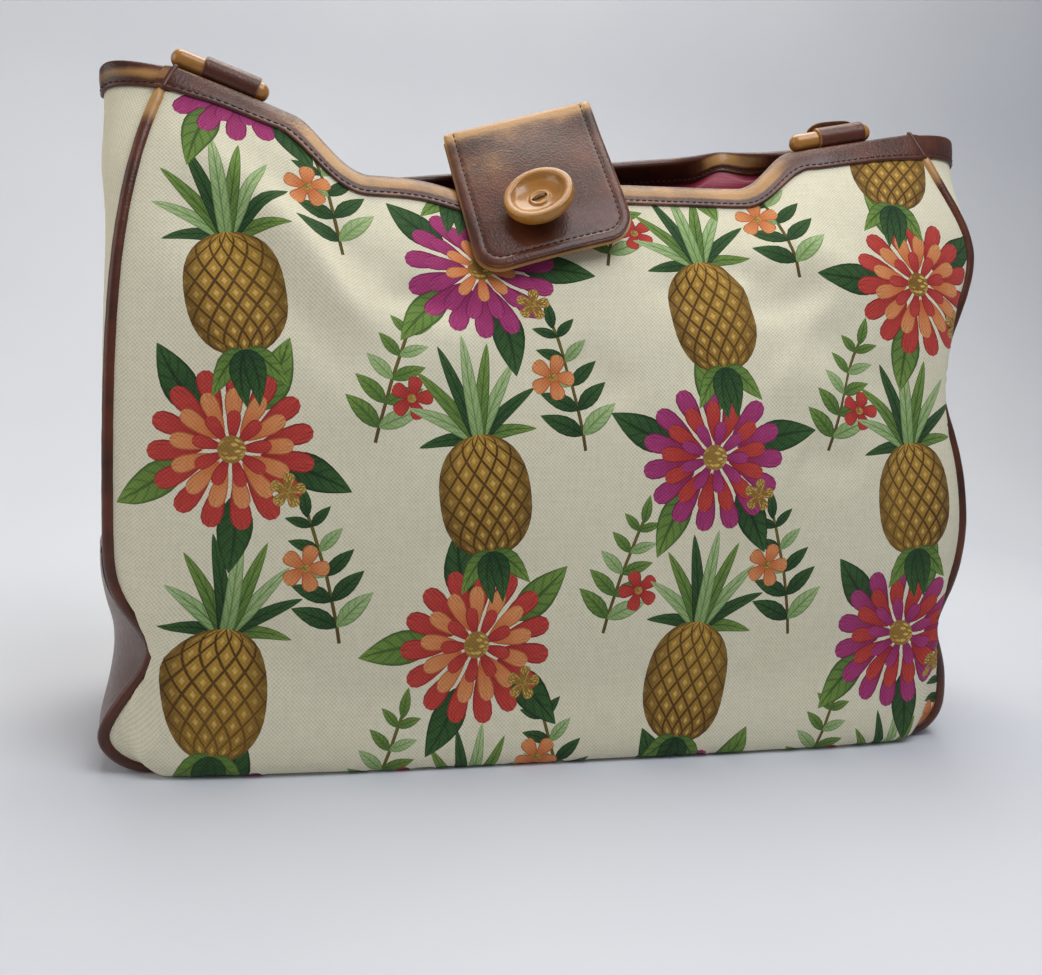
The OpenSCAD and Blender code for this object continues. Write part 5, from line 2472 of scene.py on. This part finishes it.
@dataclass
class StitchWork:
    """Rows of lockstitches, laid along lines by Geometry Nodes.

    Attributes:
        finishes: The bag's materials.
        pitch: Distance from stitch to stitch.
        stitch: Length of the thread that shows.
        radius: Radius of the thread.
    """

    finishes: Finishes
    pitch: float = 3.3
    stitch: float = 2.5
    radius: float = 0.36

    def tree(self) -> bpy.types.NodeTree:
        """Builds the tree that lays a stitch at each step along a line.

        Returns:
            The node tree, with named inputs for its sizes.
        """
        tree = bpy.data.node_groups.new("lockstitch_rows", "GeometryNodeTree")
        face = tree.interface
        face.new_socket("Lines", in_out="INPUT", socket_type="NodeSocketGeometry")
        for name in ("Pitch", "Stitch Length", "Thread Radius"):
            face.new_socket(name, in_out="INPUT", socket_type="NodeSocketFloat")
        face.new_socket("Thread", in_out="INPUT", socket_type="NodeSocketMaterial")
        face.new_socket("Stitches", in_out="OUTPUT", socket_type="NodeSocketGeometry")

        g = Graph(tree)
        given = g.add("NodeGroupInput").node.outputs
        lines = g.add("GeometryNodeMeshToCurve", {0: given["Lines"]})
        spaced = {"Curve": lines, "Length": given["Pitch"]}
        steps = g.add("GeometryNodeResampleCurve", spaced, mode="LENGTH")
        along = g.add("GeometryNodeInputTangent")
        out = g.add("GeometryNodeInputNamedAttribute", {"Name": "face_out"}, data_type="FLOAT_VECTOR")
        lie = g.add("FunctionNodeAlignRotationToVector", {"Vector": along}, axis="X")
        rolled = {"Rotation": lie, "Vector": out}
        lie = g.add("FunctionNodeAlignRotationToVector", rolled, axis="Z", pivot_axis="X")
        bead = g.add("GeometryNodeMeshUVSphere", {"Segments": 6, "Rings": 5, "Radius": 1.0})
        long = g.add("Math", {0: given["Stitch Length"], 1: 0.5}, operation="MULTIPLY")
        thick = given["Thread Radius"]
        size = g.add("CombineXYZ", {0: long, 1: thick, 2: thick})
        shaped = g.add("GeometryNodeTransform", {"Geometry": bead, "Scale": size})
        sewn = {"Points": steps, "Instance": shaped, "Rotation": lie}
        laid = g.add("GeometryNodeInstanceOnPoints", sewn)
        real = g.add("GeometryNodeRealizeInstances", {0: laid})
        soft = g.add("GeometryNodeSetShadeSmooth", {0: real})
        dressed = g.add("GeometryNodeSetMaterial", {"Geometry": soft, "Material": given["Thread"]})
        g.add("NodeGroupOutput", {0: dressed})
        return tree

    def lay(self, lines: list[tuple[Array, Array]], name: str, body: str) -> None:
        """Lays stitches along lines and makes them one plain mesh.

        Args:
            lines: Points and outward directions of each line.
            name: Name of the piece.
            body: The CAD body that carries it.
        """
        points, outs, edges, start = [], [], [], 0
        for line, out in lines:
            points.append(line)
            outs.append(out)
            edges += [(start + i, start + i + 1) for i in range(len(line) - 1)]
            start += len(line)
        mesh = bpy.data.meshes.new(f"{name}_lines")
        mesh.from_pydata((np.vstack(points) * MM).tolist(), edges, [])
        attribute = mesh.attributes.new("face_out", "FLOAT_VECTOR", "POINT")
        attribute.data.foreach_set("vector", np.vstack(outs).astype(np.float32).ravel())
        guide = bpy.data.objects.new(f"{name}_lines", mesh)
        bpy.context.scene.collection.objects.link(guide)
        tree = self.tree()
        modifier = guide.modifiers.new("stitches", "NODES")
        modifier.node_group = tree
        values = {
            "Pitch": self.pitch * MM,
            "Stitch Length": self.stitch * MM,
            "Thread Radius": self.radius * MM,
            "Thread": self.finishes.thread,
        }
        for item in tree.interface.items_tree:
            if item.in_out == "INPUT" and item.name in values:
                modifier[item.identifier] = values[item.name]
        graph = bpy.context.evaluated_depsgraph_get()
        made = bpy.data.meshes.new_from_object(guide.evaluated_get(graph))
        guide.modifiers.remove(modifier)
        bpy.data.objects.remove(guide)
        piece = bpy.data.objects.new(name, made)
        bpy.context.scene.collection.objects.link(piece)
        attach(piece, body)
        log.info("%s: %d faces on %s", name, len(made.polygons), body)


@dataclass
class Studio:
    """The pale floor, the soft lamps and the camera.

    Attributes:
        lens: Focal length on a 36 mm sensor.
        spot: Camera place in millimetres.
        pitch: Degrees that the camera looks down.
        heading: Degrees that it looks to the right of straight on.
        roll: Degrees that it leans.
        floor_x: How far the floor reaches to each side.
        floor_y: How far it reaches to the front.
        floor_gap: How far it lies under the bag.
        bend_y: Where it starts to bend up behind the bag.
        bend_r: Radius of the bend.
        wall_z: Height of the backdrop.
    """

    lens: float = 38.0
    spot: Place = (-147.4, -564.9, 226.5)
    pitch: float = 10.0
    heading: float = 13.5
    roll: float = 2.9
    floor_x: float = 3500.0
    floor_y: float = 3000.0
    floor_gap: float = 0.02
    bend_y: float = 330.0
    bend_r: float = 500.0
    wall_z: float = 3200.0

    def camera(self) -> None:
        """Sets the camera at the photograph's viewing angle."""
        p, h, r = (math.radians(a) for a in (self.pitch, self.heading, self.roll))
        ahead = np.array([math.sin(h) * math.cos(p), math.cos(h) * math.cos(p), -math.sin(p)])
        right = np.array([math.cos(h), -math.sin(h), 0.0])
        up = np.cross(right, ahead)
        across = math.cos(r) * right + math.sin(r) * up
        rise = -math.sin(r) * right + math.cos(r) * up
        lens = bpy.data.cameras.new("camera")
        lens.lens, lens.sensor_width, lens.sensor_fit = self.lens, 36.0, "HORIZONTAL"
        lens.clip_start, lens.clip_end = 0.01, 30.0
        camera = bpy.data.objects.new("camera", lens)
        turn = Matrix(np.column_stack([across, rise, -ahead]).tolist()).to_4x4()
        camera.matrix_world = Matrix.Translation(Vector(self.spot) * MM) @ turn
        bpy.context.scene.collection.objects.link(camera)
        bpy.context.scene.camera = camera

    def floor(self) -> None:
        """Builds a floor that sweeps up into a backdrop."""
        a = np.linspace(0, math.pi / 2, 24)
        r = self.bend_r
        bend = np.stack([self.bend_y + r * np.sin(a), r - r * np.cos(a)], axis=-1)
        line = np.vstack([[-self.floor_y, 0], [0, 0], bend, [self.bend_y + r, self.wall_z]])
        across = np.linspace(-self.floor_x, self.floor_x, 9)
        grid = np.array([[[x, y, z - self.floor_gap] for x in across] for y, z in line])
        draft = Draft(grid.reshape(-1, 3), grid_faces(len(line), len(across)))
        piece = draft.piece("floor", [PaleSheet().build()], recalc=False)

    def lamp(self, name: str, spot: Place, aim: Place, size: float, watts: float, colour: str) -> None:
        """Hangs one soft square lamp.

        Args:
            name: Name of the lamp.
            spot: Its place in metres.
            aim: Where it points.
            size: Side of its square.
            watts: Its power.
            colour: Its colour.
        """
        data = bpy.data.lights.new(name, "AREA")
        data.size, data.energy, data.color = size, watts, linear(colour)[:3]
        lamp = bpy.data.objects.new(name, data)
        way = Vector(aim) - Vector(spot)
        lamp.matrix_world = Matrix.Translation(spot) @ way.to_track_quat("-Z", "Y").to_matrix().to_4x4()
        bpy.context.scene.collection.objects.link(lamp)

    def light(self) -> None:
        """Lights the bag from the upper right in front, from above the backdrop and from the left."""
        world = bpy.data.worlds.new("studio")
        world.use_nodes = True
        Graph(world.node_tree).feed(world.node_tree.nodes["Background"], {0: "#e6edf6", 1: 0.27})
        bpy.context.scene.world = world
        self.lamp("sky", (0.16, -0.38, 0.84), (-0.02, -0.02, 0.2), 0.5, 3.5, "#f6f9ff")
        self.lamp("window", (0.08, 0.5, 1.35), (0.08, 0.25, 0.0), 1.0, 14.0, "#fffaf0")
        self.lamp("fill", (-1.2, -0.15, 0.6), (0.0, 0.0, 0.15), 0.9, 4.0, "#fff8ee")

    def build(self) -> None:
        """Sets up the whole studio."""
        bpy.context.scene.view_settings.view_transform = "Standard"
        self.camera()
        self.floor()
        self.light()


def main() -> None:
    """Builds the studio and every piece of the bag, in order."""
    logging.basicConfig(level=logging.INFO, format="%(message)s")
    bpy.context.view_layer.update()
    form = BagForm()
    finishes = Finishes()
    Studio().build()
    panels = CanvasPanels(form, finishes)
    panels.printed()
    panels.plain()
    sides = SidePanels(form, finishes)
    for side in Side:
        sides.gusset(side)
        sides.boot(side)
    BasePanel(form, finishes).build()
    bands = MouthBands(form, finishes)
    for face in Face:
        bands.face_band(face)
    for side in Side:
        bands.side_band(side)
    LiningPouch(form, finishes).build()
    piping = SeamPiping(form, finishes)
    for face in Face:
        piping.build(face)
    flap = FoldFlap(form, finishes)
    flap.skin()
    flap.backing()
    flap.button()
    flap.thread()
    rods = ToggleRods(form, finishes)
    for side in Side:
        rods.sleeve(side)
        rods.rod(side)
    stitches = StitchWork(finishes)
    stitches.lay(bands.stitch_lines(), "bag_stitches", "bag")
    stitches.lay(flap.stitch_line(), "flap_stitches", "flap")


if __name__ == "__main__":
    main()
